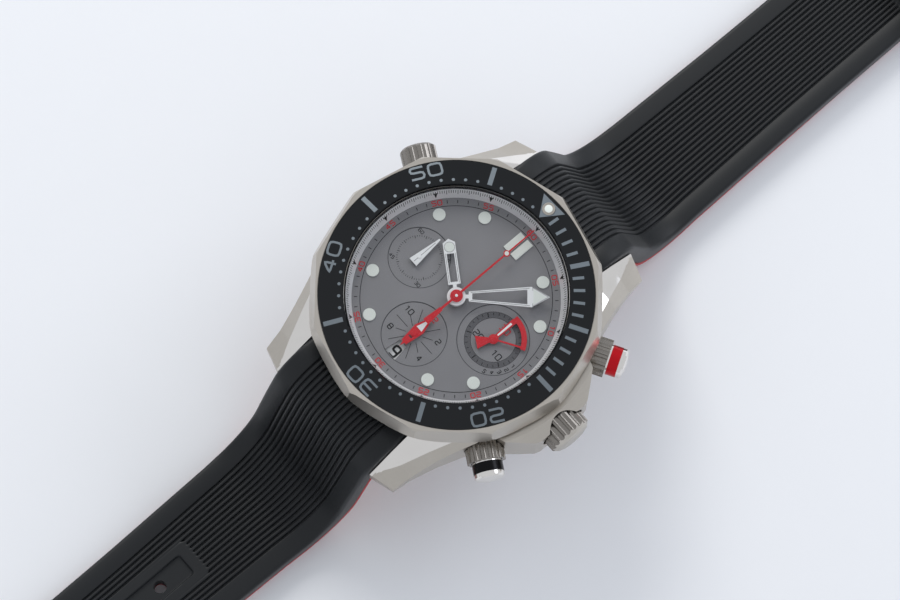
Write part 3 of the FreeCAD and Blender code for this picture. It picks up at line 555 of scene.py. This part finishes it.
# ---- bezel -------------------------------------------------------------------------
BEZEL_TURN = -2.5                       # the bezel stands this far clockwise from twelve
INSERT_SURFACE = cone(16.9, 14.72, 20.65, 14.2)


def on_bezel(patches, minute, radius=0.0):
    """Patches taken to a radius at a minute of the bezel, their tops outwards."""
    clock = 6 * minute + BEZEL_TURN
    x, y = around(radius, clock)
    return [moved_patch(patch, x, y, clock) for patch in patches]


def triangle_round_pip():
    """Triangle that points inwards, left open where the pip stands, as a fan of strips."""
    corners = [(2.25, 20.15), (0.0, 16.95), (-2.25, 20.15)]
    edge = []
    for i, corner in enumerate(corners):
        following = corners[(i + 1) % 3]
        edge += [tuple(Vector(corner).lerp(Vector(following), step / 8)) for step in range(8)]
    middle = Vector((0, 18.94))
    inner = [tuple(middle + (Vector(p) - middle).normalized() * 1.02) for p in edge]
    count = len(edge)
    faces = [(i, (i + 1) % count, count + (i + 1) % count, count + i)[::-1] for i in range(count)]
    return [(edge + inner, faces)]


def bezel_patches():
    """Bars, dots, numerals and the triangle of a sixty-minute scale."""
    patches = []
    for minute in (5, 10, 15, 25, 35, 45, 55):
        patches += on_bezel([bar_patch(0.72, 17.36, 20.3)], minute)
    for minute in (m for m in range(1, 15) if m % 5):
        patches += on_bezel([bar_patch(0.46, 17.36, 19.1)], minute)
    for minute in (m for m in range(16, 60) if m % 5 or m % 10 == 0):
        patches += on_bezel([dot_patch(0.24)], minute, 17.5)
    for minute in (20, 30, 40, 50):
        digits = number_patches(minute, 1.85, 2.0, 0.34, 0.75)
        patches += on_bezel(digits, minute, 19.35)
    patches += on_bezel(triangle_round_pip(), 0)
    return patches


class WATCH_OT_bezel_marks(bpy.types.Operator):
    """Lay the minute scale on the bezel insert"""
    bl_idname = "watch.bezel_marks"
    bl_label = "Bezel marks"

    def execute(self, context):
        print_marks("bezel_marks", bezel_patches(), INSERT_SURFACE, 0.04, "bezel", "marks")
        return {"FINISHED"}


class WATCH_OT_bezel_pearl(bpy.types.Operator):
    """Fill the bezel's pip with a dome of luminous paint"""
    bl_idname = "watch.bezel_pearl"
    bl_label = "Bezel pearl"

    def execute(self, context):
        low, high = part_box("bezel_pip")
        middle = (low + high) / 2
        deselect()
        bpy.ops.mesh.primitive_uv_sphere_add(segments=32, ring_count=16, radius=0.68 * MM,
                                             location=(middle.x, middle.y, high.z - 0.05 * MM))
        pearl = bpy.context.object
        pearl.name = "bezel_pearl"
        pearl.scale = (1, 1, 0.16)
        settle(pearl)
        finish_piece(pearl, "bezel", "lume")
        return {"FINISHED"}


# ---- dial --------------------------------------------------------------------------
REGISTER = DIAL - 0.1                  # the three registers are sunk this far
CHAPTER_RADIUS = 15.0


def chapter_patches():
    """Black minute ticks and the thin circle inside them."""
    patches = [ring_patch(14.4, 14.3)]
    for minute in range(60):
        if minute % 5:
            patches.append(moved_patch(bar_patch(0.12, 14.75, 15.25), turn=6 * minute))
    return patches


def chapter_numerals():
    """Numbers of the minutes, 05 to 60, their tops outwards."""
    patches = []
    for minute in range(5, 65, 5):
        x, y = around(CHAPTER_RADIUS, 6 * minute)
        patches += at(number_patches(f"{minute:02d}", 0.72, 0.62, 0.15, 0.26), x, y, 6 * minute)
    return patches


def seconds_register_patches():
    """Register at nine: twelve short ticks and a ring of fine dots."""
    patches = [moved_patch(bar_patch(0.09, 3.05, 3.5), turn=30 * i) for i in range(12)]
    patches += [moved_patch(bar_patch(0.07, 3.25, 3.5), turn=6 * i) for i in range(60) if i % 5]
    patches += [moved_patch(number, *around(4.12, 90 * i + 45), 0) for i, n in enumerate((15, 30, 45, 60))
                for number in number_patches(n, 0.5, 0.36, 0.1, 0.16)]
    return at(patches, SECONDS_X, SECONDS_Y)


def hours_register_patches():
    """Register at six: twelve spokes and the even hours."""
    patches = []
    for hour in range(12):
        if hour != 6:
            low, high = (1.5, 3.95) if hour % 2 else (1.3, 2.9)
            patches.append(moved_patch(bar_patch(0.09, low, high), turn=30 * hour))
    for hour in (2, 4, 8, 10):
        patches += at(number_patches(hour, 0.85, 0.6, 0.15, 0.22), *around(3.75, 30 * hour))
    return at(patches, HOURS_X, HOURS_Y)


def minutes_register_patches():
    """Register at three: a railway track of thirty minutes and its numerals."""
    patches = [ring_patch(3.42, 3.36), ring_patch(4.36, 4.3)]
    for minute in range(30):
        low, width = (3.5, 0.16) if minute % 5 == 0 else (3.8, 0.1)
        patches.append(moved_patch(bar_patch(width, low, 4.22), turn=12 * minute))
    for minute in (10, 20):
        patches += at(number_patches(minute, 0.95, 0.66, 0.16, 0.25), *around(2.35, 12 * minute))
    for step, minute in enumerate((1, 2, 3, 4, 5)):
        patches += at(number_patches(minute, 0.55, 0.4, 0.12, 0.2), *around(4.95, 95 + 13 * step))
    return at(patches, MINUTES_X, MINUTES_Y)


def red_register_numerals():
    """The top number of the hours and minutes registers."""
    patches = at(number_patches(12, 0.85, 0.6, 0.15, 0.22), HOURS_X, HOURS_Y + 3.75)
    return patches + at(number_patches(30, 0.95, 0.66, 0.16, 0.25), MINUTES_X, MINUTES_Y + 2.35)


def on_dial(x, y):
    """Height of the dial, lower in its three sunken registers."""
    for cx, cy, radius in ((SECONDS_X, SECONDS_Y, 4.75), (MINUTES_X, MINUTES_Y, 5.5), (HOURS_X, HOURS_Y, 5.0)):
        if math.hypot(x - cx, y - cy) < radius:
            return REGISTER
    return DIAL


class WATCH_OT_dial_print(bpy.types.Operator):
    """Print the chapter ring and the three registers"""
    bl_idname = "watch.dial_print"
    bl_label = "Dial printing"

    def execute(self, context):
        ink = context.scene.watch_dial.ink
        black = chapter_patches() + seconds_register_patches() + hours_register_patches() \
            + minutes_register_patches()
        print_marks("dial_print_black", black, on_dial, ink, "head", "black_ink")
        red = chapter_numerals() + red_register_numerals()
        print_marks("dial_print_red", red, on_dial, ink, "head", "red_ink")
        rims = []
        for x, y, radius in ((SECONDS_X, SECONDS_Y, 4.72), (MINUTES_X, MINUTES_Y, 5.47), (HOURS_X, HOURS_Y, 4.97)):
            rims += at([ring_patch(radius, radius - 0.09)], x, y)
        print_marks("register_rims", rims, on_dial, ink, "head", "line_ink")
        track = at([ring_patch(4.3, 3.42)], MINUTES_X, MINUTES_Y)
        print_marks("minutes_track", track, flat(REGISTER), ink * 0.5, "head", "track_ink")
        return {"FINISHED"}


FLANGE_SURFACE = cone(15.6, DIAL, 16.45, 13.15)


def flange_patches():
    """Fifth-of-a-minute ticks and a triangle every five minutes."""
    patches = []
    for tick in range(300):
        low = 15.98 if tick % 5 == 0 else 16.1
        patches.append(moved_patch(bar_patch(0.085, low, 16.36), turn=1.2 * tick))
    for hour in range(12):
        patches.append(moved_patch(triangle_patch(0.62, 16.2, 15.72), turn=30 * hour))
    return patches


class WATCH_OT_flange_scale(bpy.types.Operator):
    """Print the fine seconds scale on the sloping flange ring"""
    bl_idname = "watch.flange_scale"
    bl_label = "Flange scale"

    def execute(self, context):
        print_marks("flange_scale", flange_patches(), FLANGE_SURFACE, 0.02, "head", "black_ink")
        return {"FINISHED"}


class WATCH_OT_date_numerals(bpy.types.Operator):
    """Print the thirty-one dates on the date ring"""
    bl_idname = "watch.date_numerals"
    bl_label = "Date numerals"

    def execute(self, context):
        patches = []
        for day in range(1, 32):
            clock = 180 + (day - 9) * 360 / 31
            x, y = around(12.05, clock)
            width = 1.05 if day < 10 else 0.68
            patches += at(number_patches(day, 1.75, width, 0.34, 0.3), x, y, clock - 180)
        top = top_of("date_ring")
        print_marks("date_numerals", patches, flat(top), 0.02, "date_ring", "black_ink")
        return {"FINISHED"}


# ---- hands -------------------------------------------------------------------------
HOUR_CLOCK, MINUTE_CLOCK = 303.45, 41.4


class WATCH_OT_hand_inlays(bpy.types.Operator):
    """Fill the hands with luminous paint and draw their fine edges"""
    bl_idname = "watch.hand_inlays"
    bl_label = "Hand inlays"

    def execute(self, context):
        hour = [moved_patch(dot_patch(0.72, 32), *around(7.75, HOUR_CLOCK))]
        print_marks("hour_hand_lume", hour, flat(top_of("hour_hand")), 0.05, "hour_group", "lume")
        tip = [([(-1.2, 11.45), (1.2, 11.45), (0, 13.4)], [(0, 1, 2)])]
        print_marks("minute_hand_lume", at(tip, 0, 0, MINUTE_CLOCK), flat(top_of("minute_hand")), 0.05,
                    "minute_group", "lume")
        lines = [stroke_patch([(-0.98, 11.35), (-1.42, 11.35), (0, 13.68), (1.42, 11.35), (0.98, 11.35)], 0.07)]
        lines += [stroke_patch([(side * 0.62, 2.1), (side * 1.33, 10.9)], 0.07) for side in (-1, 1)]
        print_marks("minute_hand_lines", at(lines, 0, 0, MINUTE_CLOCK), flat(top_of("minute_hand")), 0.03,
                    "minute_group", "pale_ink")
        lines = [stroke_patch([(side * 0.74, 2.2), (side * 0.74, 6.8)], 0.07) for side in (-1, 1)]
        lines += at([ring_patch(0.8, 0.74)], 0, 7.75)
        print_marks("hour_hand_lines", at(lines, 0, 0, HOUR_CLOCK), flat(top_of("hour_hand")), 0.03,
                    "hour_group", "pale_ink")
        print_marks("chrono_lume", at([dot_patch(0.34)], 0, 9.95), flat(top_of("chrono_seconds_hand")), 0.04,
                    "chrono_group", "lume")
        kite = [([(-0.55, 0.95), (0.55, 0.95), (0, 3.2)], [(0, 1, 2)])]
        print_marks("hour_counter_lume", at(kite, HOURS_X, HOURS_Y), flat(top_of("hour_counter_hand")), 0.04,
                    "hour_counter", "white")
        tail = [([(-0.5, -0.9), (0, -2.9), (0.5, -0.9)], [(0, 1, 2)])]
        print_marks("hour_counter_tail", at(tail, HOURS_X, HOURS_Y), flat(top_of("hour_counter_hand")), 0.04,
                    "hour_counter", "red")
        strip = [bar_patch(0.26, 0.85, 3.6, 0.36)]
        print_marks("minute_counter_lume", at(strip, MINUTES_X, MINUTES_Y), flat(top_of("minute_counter_hand")),
                    0.04, "minute_counter", "white")
        line = [stroke_patch([(0, -1.1), (0, 3.2)], 0.08)]
        print_marks("small_seconds_line", at(line, SECONDS_X, SECONDS_Y), flat(top_of("small_seconds_hand")), 0.03,
                    "seconds_group", "pale_ink")
        return {"FINISHED"}


class WATCH_OT_hand_hubs(bpy.types.Operator):
    """Put a turned cap on each hand's hub"""
    bl_idname = "watch.hand_hubs"
    bl_label = "Hand hubs"

    def execute(self, context):
        hubs = (("chrono_hub", 0, 0, 0.62, "chrono_seconds_hand", "chrono_group", "hand_red", "red"),
                ("chrono_pin", 0, 0, 0.22, "chrono_seconds_hand", "chrono_group", "hand_white", "white"),
                ("seconds_hub", SECONDS_X, SECONDS_Y, 0.3, "small_seconds_hand", "seconds_group", "hand_white",
                 "white"),
                ("hours_hub", HOURS_X, HOURS_Y, 0.5, "hour_counter_hand", "hour_counter", "hand_red", "red"),
                ("minutes_hub", MINUTES_X, MINUTES_Y, 0.55, "minute_counter_hand", "minute_counter", "hand_red",
                 "red"))
        for name, x, y, radius, hand, body, slot, finish in hubs:
            rise = 0.22 if name == "chrono_pin" else 0.12
            deselect()
            bpy.ops.mesh.primitive_cylinder_add(vertices=48, radius=radius * MM, depth=rise * MM,
                                                location=(x * MM, y * MM, (top_of(hand) + rise / 2 - 0.02) * MM))
            cap = bpy.context.object
            cap.name = name
            settle(cap)
            apply_modifier(cap, "BEVEL", width=0.04 * MM, segments=3, limit_method="ANGLE")
            finish_piece(cap, body, finish)
        return {"FINISHED"}


# ---- strap -------------------------------------------------------------------------
STRAP_TOP = FLOOR + 3.8                 # top of the strap on its flat run
BODY_DEPTH, LINING_DEPTH = 3.1, 3.8
BEND = math.radians(70)
CREST_Y, CREST_Z, CREST_RADIUS, FOOT_RADIUS = 20.8, 7.5, 7.0, 9.0
NEAR_END = 18.4
PLAN_Y = (18.4, 29.0, 42.0, 62.0)
PLAN_HALF = (10.3, 10.3, 9.7, 9.3)
END_HALF, TIP_LENGTH, TIP_POWER = 9.0, 7.0, 2.4
HOLES = [59.0 + 6.5 * i for i in range(8)]


def half_width(y, far_end, rounded):
    """Half of the strap's width at a distance from the watch's centre."""
    taper = far_end - TIP_LENGTH
    places, halves = PLAN_Y + (taper,), PLAN_HALF + (END_HALF,)
    if rounded and y > taper:
        share = min(1.0, (y - taper) / TIP_LENGTH)
        return END_HALF * max(0.12, 1 - share ** TIP_POWER) ** (1 / TIP_POWER)
    for i in range(len(places) - 1):
        if y <= places[i + 1]:
            along = max(0.0, (y - places[i]) / (places[i + 1] - places[i]))
            return halves[i] + (halves[i + 1] - halves[i]) * along
    return halves[-1]


def side_view(far_end, fine):
    """Stations along the strap's top: place, height and the outward normal (y, z)."""
    stations = [(y, CREST_Z, 0.0, 1.0) for y in (NEAR_END, 19.2, 20.0)]
    centre_z = CREST_Z - CREST_RADIUS
    for step in range(15):
        a = BEND * step / 14
        stations.append((CREST_Y + CREST_RADIUS * math.sin(a), centre_z + CREST_RADIUS * math.cos(a),
                         math.sin(a), math.cos(a)))
    fall = STRAP_TOP + FOOT_RADIUS * (1 - math.cos(BEND))
    start_y, start_z = stations[-1][:2]
    run = (start_z - fall) / math.tan(BEND)
    for step in range(1, 7):
        stations.append((start_y + run * step / 7, start_z + (fall - start_z) * step / 7,
                         math.sin(BEND), math.cos(BEND)))
    foot_y = start_y + run + FOOT_RADIUS * math.sin(BEND)
    for step in range(17):
        a = BEND * (1 - step / 16)
        stations.append((foot_y - FOOT_RADIUS * math.sin(a), STRAP_TOP + FOOT_RADIUS * (1 - math.cos(a)),
                         math.sin(a), math.cos(a)))
    flat_run = sorted({round(y, 3) for y in fine} | {42.0, 45.0, 48.0, 51.0, far_end})
    stations += [(y, STRAP_TOP, 0.0, 1.0) for y in flat_run if foot_y + 0.3 < y <= far_end]
    return stations


def blend_in(value, low, high):
    """Smooth step from 0 at low to 1 at high."""
    share = min(1.0, max(0.0, (value - low) / (high - low)))
    return share * share * (3 - 2 * share)


def inside_box(x, y, half_x, low, high, corner):
    """Distance into a rounded box about the Y axis; negative outside."""
    qx = abs(x) - half_x + corner
    qy = abs(y - (low + high) / 2) - (high - low) / 2 + corner
    outside = math.hypot(max(qx, 0.0), max(qy, 0.0))
    return corner - outside - min(max(qx, qy), 0.0)


def groove_section(settings):
    """Places across the strap, as pitch offsets, and the depth of the groove there."""
    places = []
    for index in range(settings.grooves):
        for offset in (-0.5, -0.36, -0.26, -0.19, -0.1, 0.1, 0.19, 0.26, 0.36):
            depth = 1 - blend_in(abs(offset), 0.08, 0.3)
            crown = 0.16 * blend_in(0.5 - abs(offset), 0.0, 0.3)
            places.append((index - (settings.grooves - 1) / 2 + offset, depth, crown))
    return places


def relief_on_long(x, y, groove, settings):
    """Depth below the strap's top on the holed half."""
    panel = inside_box(x, y, 3.3, 51.6, 116.0, 0.9)
    groove *= 1 - blend_in(panel, -0.25, 0.15)
    groove *= 1 - blend_in(y, 108.5, 109.5)
    channel = inside_box(x, y, 1.9, 53.6, 108.5, 0.6)
    return settings.groove_depth * groove + 0.5 * blend_in(channel, -0.05, 0.25)


def relief_on_short(x, y, groove, settings):
    """Depth below the strap's top on the buckle half."""
    return settings.groove_depth * groove * (1 - blend_in(y, 88.0, 88.8))


def strap_sections(far_end, rounded, relief, settings, top_depth, bottom_depth, fine, first=0):
    """Rings across the strap from the case outwards, between two depths below its top."""
    grooves = groove_section(settings)
    corner = min(0.6, (bottom_depth - top_depth) * 0.3)
    sections = []
    for y, z, ny, nz in side_view(far_end, fine)[first:]:
        half_top = half_width(y - ny * top_depth, far_end, rounded)
        pitch = 2 * (half_top - settings.border) / settings.grooves
        ring = []
        edge = []
        for step in range(5):
            a = math.radians(90 * step / 4)
            edge.append((half_top - corner + corner * math.sin(math.pi / 2 - a), corner - corner * math.sin(a)))
        top = [(-x, d) for x, d in edge]
        if relief:
            for place, groove, crown in grooves:
                x = place * pitch
                top.append((x, relief(x, y, groove, settings)))
        top += [(x, d) for x, d in reversed(edge)]
        for x, d in top:
            depth = top_depth + d
            ring.append((x, y - ny * depth, z - nz * depth))
        if y < 27.2 and top_depth == 0 and first == 0:
            low_y, low_z = nose_underside(y)
        else:
            low_y, low_z = y - ny * bottom_depth, z - nz * bottom_depth
        half_low = half_width(low_y, far_end, rounded)
        ring += [(half_low, low_y + ny * 0.25, low_z + nz * 0.25), (half_low - 0.25, low_y, low_z)]
        ring += [(-half_low + 0.25, low_y, low_z), (-half_low, low_y + ny * 0.25, low_z + nz * 0.25)]
        sections.append(ring)
    return sections


def nose_underside(y):
    """Underside of the thick block that holds the lug spring bar, below a place on the crest."""
    share = (y - NEAR_END) / (27.2 - NEAR_END)
    low_y = NEAR_END + 5.7 * share
    return low_y, 1.7 + 0.5 * max(0.0, share - 0.6) / 0.4


def toward_long_half(obj):
    """Turn a piece made towards twelve over to the six o'clock side."""
    obj.data.transform(Matrix.Rotation(math.pi, 4, "Z"))


def pierce(obj, places):
    """Cut the round buckle holes through a strap piece."""
    for y in places:
        deselect()
        bpy.ops.mesh.primitive_cylinder_add(vertices=32, radius=1.0 * MM, depth=8 * MM,
                                            location=(0, y * MM, (FLOOR + 2) * MM))
        tool = bpy.context.object
        apply_modifier(obj, "BOOLEAN", operation="DIFFERENCE", object=tool, solver="EXACT")
        bpy.data.objects.remove(tool)


def channel_stations():
    """Extra places along the long half, close together where its channel begins and ends."""
    close = [51.0 + 0.2 * i for i in range(22)]
    return close + [56, 57.5, 60.5, 64, 68, 76, 84, 92, 100, 106] + [107.6 + 0.2 * i for i in range(12)] \
        + [111, 111.8, 112.6, 113.4, 114.2, 115, 115.8, 116.5, 117.1, 117.6]


class WATCH_OT_strap_halves(bpy.types.Operator):
    """Model the two ribbed rubber halves of the strap"""
    bl_idname = "watch.strap_halves"
    bl_label = "Strap halves"

    def execute(self, context):
        settings = context.scene.watch_strap
        long_end = -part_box("strap_long")[0].y / MM
        sections = strap_sections(long_end, True, relief_on_long, settings, 0.0, BODY_DEPTH, channel_stations())
        long_half = loft("ribbed_strap_long", sections)
        pierce(long_half, HOLES)
        toward_long_half(long_half)
        finish_piece(long_half, "strap_long", "rubber", 50)
        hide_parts("strap_long")

        short_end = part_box("strap_short")[1].y / MM
        fine = [55, 60, 65, 70, 75, 80, 85, 87.6, 88.0, 88.2, 88.4, 88.6, 88.8, 89.2, 92, 96, 100, 104]
        sections = strap_sections(short_end, False, relief_on_short, settings, 0.0, BODY_DEPTH, fine)
        short_half = loft("ribbed_strap_short", sections)
        slot = box_piece("slot_tool", -2.0, 2.0, short_end - 5.5, short_end + 2.0, FLOOR - 1, FLOOR + 6)
        apply_modifier(short_half, "BOOLEAN", operation="DIFFERENCE", object=slot, solver="EXACT")
        bpy.data.objects.remove(slot)
        finish_piece(short_half, "strap_short", "rubber", 50)
        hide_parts("strap_short")
        return {"FINISHED"}


class WATCH_OT_strap_linings(bpy.types.Operator):
    """Model the coloured lining under each strap half"""
    bl_idname = "watch.strap_linings"
    bl_label = "Strap linings"

    def execute(self, context):
        settings = context.scene.watch_strap
        long_end = -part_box("strap_long_lining")[0].y / MM
        sections = strap_sections(long_end, True, None, settings, BODY_DEPTH + 0.01, LINING_DEPTH,
                                  channel_stations(), first=17)
        lining = loft("lining_long", sections)
        pierce(lining, HOLES)
        toward_long_half(lining)
        finish_piece(lining, "strap_long", "lining", 50)
        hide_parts("strap_long_lining")
        short_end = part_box("strap_short_lining")[1].y / MM
        sections = strap_sections(short_end, False, None, settings, BODY_DEPTH + 0.01, LINING_DEPTH,
                                  [55, 60, 70, 80], first=17)
        lining = loft("lining_short", sections)
        finish_piece(lining, "strap_short", "lining", 50)
        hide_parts("strap_short_lining")
        return {"FINISHED"}


def box_piece(name, x0, x1, y0, y1, z0, z1):
    """Cube of the given sides in millimetres, its place in its mesh."""
    deselect()
    bpy.ops.mesh.primitive_cube_add(size=1, location=((x0 + x1) / 2 * MM, (y0 + y1) / 2 * MM, (z0 + z1) / 2 * MM))
    made = bpy.context.object
    made.name = name
    made.scale = ((x1 - x0) * MM, (y1 - y0) * MM, (z1 - z0) * MM)
    settle(made)
    return made


def keeper_loop(name, y, half, low, high, width, wall):
    """Rubber loop: a box with its ends open, thickened outwards and softened."""
    loop = box_piece(name, -half, half, y - width / 2, y + width / 2, low, high)
    bpy.ops.object.mode_set(mode="EDIT")
    bpy.ops.mesh.select_mode(type="FACE")
    bpy.ops.mesh.select_all(action="DESELECT")
    bpy.ops.object.mode_set(mode="OBJECT")
    for face in loop.data.polygons:
        face.select = abs(face.normal.y) > 0.9
    bpy.ops.object.mode_set(mode="EDIT")
    bpy.ops.mesh.delete(type="ONLY_FACE")
    bpy.ops.object.mode_set(mode="OBJECT")
    apply_modifier(loop, "BEVEL", width=0.6 * MM, segments=4, limit_method="ANGLE")
    apply_modifier(loop, "SOLIDIFY", thickness=wall * MM, offset=1.0, use_even_offset=True)
    apply_modifier(loop, "BEVEL", width=0.22 * MM, segments=3, limit_method="ANGLE", angle_limit=math.radians(60))
    return loop


class WATCH_OT_keepers(bpy.types.Operator):
    """Model the sliding keeper and the keeper moulded on the short half"""
    bl_idname = "watch.keepers"
    bl_label = "Strap keepers"

    def execute(self, context):
        low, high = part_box("sliding_keeper")
        y = (low.y + high.y) / 2 / MM
        half = high.x / MM - 1.0
        sliding = keeper_loop("keeper_sliding", y, half, low.z / MM + 0.6, high.z / MM - 1.0,
                              (high.y - low.y) / MM, 0.6)
        finish_piece(sliding, "sliding_keeper", "rubber")
        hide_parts("sliding_keeper")
        fixed = keeper_loop("keeper_fixed", y + 7.5, half - 0.08, FLOOR + 0.7, high.z / MM - 1.0, 5.0, 0.6)
        finish_piece(fixed, "strap_short", "rubber")
        return {"FINISHED"}


# ---- carried-over nodes -------------------------------------------------------------
LUG_RIDGE = ((11.5, 16.9), (14.2, 15.9), (17.9, 14.4), (21.9, 12.75), (25.5, 10.9))


def ridge_of_lug(y):
    """Half distance between the ridges of two lugs, where satin meets polish."""
    for (near, wide), (far, narrow) in zip(LUG_RIDGE, LUG_RIDGE[1:]):
        if y <= far:
            return wide + (narrow - wide) * max(0.0, (y - near) / (far - near))
    return LUG_RIDGE[-1][1]


class WATCH_OT_finishes(bpy.types.Operator):
    """Give each node in the finish table its finish, and the case its polished facets"""
    bl_idname = "watch.finishes"
    bl_label = "Finishes"

    def execute(self, context):
        for finish, names in NODE_FINISH.items():
            for name in names:
                NODES[name].data.materials.clear()
                NODES[name].data.materials.append(FINISHES[finish])
        case = NODES["case_body"].data
        # the upward inner lug facets are polished, and their lighter polished colour is painted highlight
        case.materials.append(FINISHES["polished"])
        for face in case.polygons:
            x, y, z = face.center / MM
            if abs(y) > 12.0 and abs(x) < ridge_of_lug(abs(y)) and face.normal.z > 0.3 and z > 2.9:
                face.material_index = 1
        crown = NODES["crown"].data
        crown.materials.append(FINISHES["turned"])
        for face in crown.polygons:
            if face.center.x / MM > 26.0:
                face.material_index = 1
        return {"FINISHED"}


# ---- stage -------------------------------------------------------------------------
def area_lamp(name, place, aim, size, energy, tint):
    """Rectangular lamp at a place in metres, turned towards its aim."""
    lamp = bpy.data.lights.new(name, "AREA")
    lamp.shape = "RECTANGLE"
    lamp.size, lamp.size_y = size
    lamp.energy = energy
    lamp.color = colour(tint)[:3]
    made = bpy.data.objects.new(name, lamp)
    bpy.context.scene.collection.objects.link(made)
    made.location = place
    made.rotation_euler = (Vector(aim) - Vector(place)).to_track_quat("-Z", "Y").to_euler()


class WATCH_OT_stage(bpy.types.Operator):
    """Set the table, the studio lights and the camera"""
    bl_idname = "watch.stage"
    bl_label = "Stage"

    def execute(self, context):
        settings = context.scene.watch_stage
        deselect()
        bpy.ops.mesh.primitive_plane_add(size=3.0, location=(0, 0, FLOOR * MM))
        table = bpy.context.object
        table.name = "table"
        table.data.materials.append(surface("table_board", settings.floor, 0.0, 0.75, 0.8, tint=0.01))
        area_lamp("key", (-0.62, 0.28, 0.5), (0, 0, 0), (0.34, 0.34), 2.9, "#fffdf8")
        area_lamp("fill", (0.12, 0.66, 0.5), (0, 0, 0), (0.5, 0.3), 1.5, "#f2f6ff")
        world = bpy.data.worlds.new("studio")
        context.scene.world = world
        world.use_nodes = True
        background = world.node_tree.nodes["Background"]
        background.inputs["Color"].default_value = colour("#e9ecf1")
        background.inputs["Strength"].default_value = 0.8
        camera = bpy.data.cameras.new("camera")
        camera.lens = settings.lens
        camera.clip_start, camera.clip_end = 0.05, 5.0
        seat = bpy.data.objects.new("camera", camera)
        context.scene.collection.objects.link(seat)
        seat.location = Vector((125.66, -130.32, 709.79)) * MM
        seat.rotation_euler = [math.radians(a) for a in (14.461, -1.197, 48.875)]
        context.scene.camera = seat
        context.scene.view_settings.view_transform = "Standard"
        return {"FINISHED"}


class WATCH_PT_panel(bpy.types.Panel):
    """Lists the watch's settings and its pieces in build order"""
    bl_idname = "WATCH_PT_panel"
    bl_label = "Dive watch"
    bl_space_type = "VIEW_3D"
    bl_region_type = "UI"
    bl_category = "Watch"

    def draw(self, context):
        for group in ("watch_strap", "watch_dial", "watch_case", "watch_stage"):
            settings = getattr(context.scene, group)
            box = self.layout.box()
            for name in type(settings).__annotations__:
                box.prop(settings, name)
        for operator in OPERATORS:
            self.layout.operator(operator.bl_idname)


OPERATORS = (WATCH_OT_finishes, WATCH_OT_bezel_marks, WATCH_OT_bezel_pearl, WATCH_OT_dial_print,
             WATCH_OT_flange_scale, WATCH_OT_date_numerals, WATCH_OT_hand_inlays, WATCH_OT_hand_hubs,
             WATCH_OT_strap_halves, WATCH_OT_strap_linings, WATCH_OT_keepers, WATCH_OT_stage)
GROUPS = {"watch_strap": StrapSettings, "watch_dial": DialSettings, "watch_case": CaseSettings,
          "watch_stage": StageSettings}


def register():
    """Register the settings, the operators and the panel."""
    for group, kind in GROUPS.items():
        bpy.utils.register_class(kind)
        setattr(bpy.types.Scene, group, PointerProperty(type=kind))
    for kind in OPERATORS + (WATCH_PT_panel,):
        bpy.utils.register_class(kind)


def unregister():
    """Take the panel, the operators and the settings out again."""
    for kind in (WATCH_PT_panel,) + OPERATORS[::-1]:
        bpy.utils.unregister_class(kind)
    for group, kind in GROUPS.items():
        delattr(bpy.types.Scene, group)
        bpy.utils.unregister_class(kind)


def main():
    register()
    make_finishes(bpy.context.scene)
    for operator in OPERATORS:
        group, name = operator.bl_idname.split(".")
        getattr(getattr(bpy.ops, group), name)()


if __name__ == "__main__":
    main()
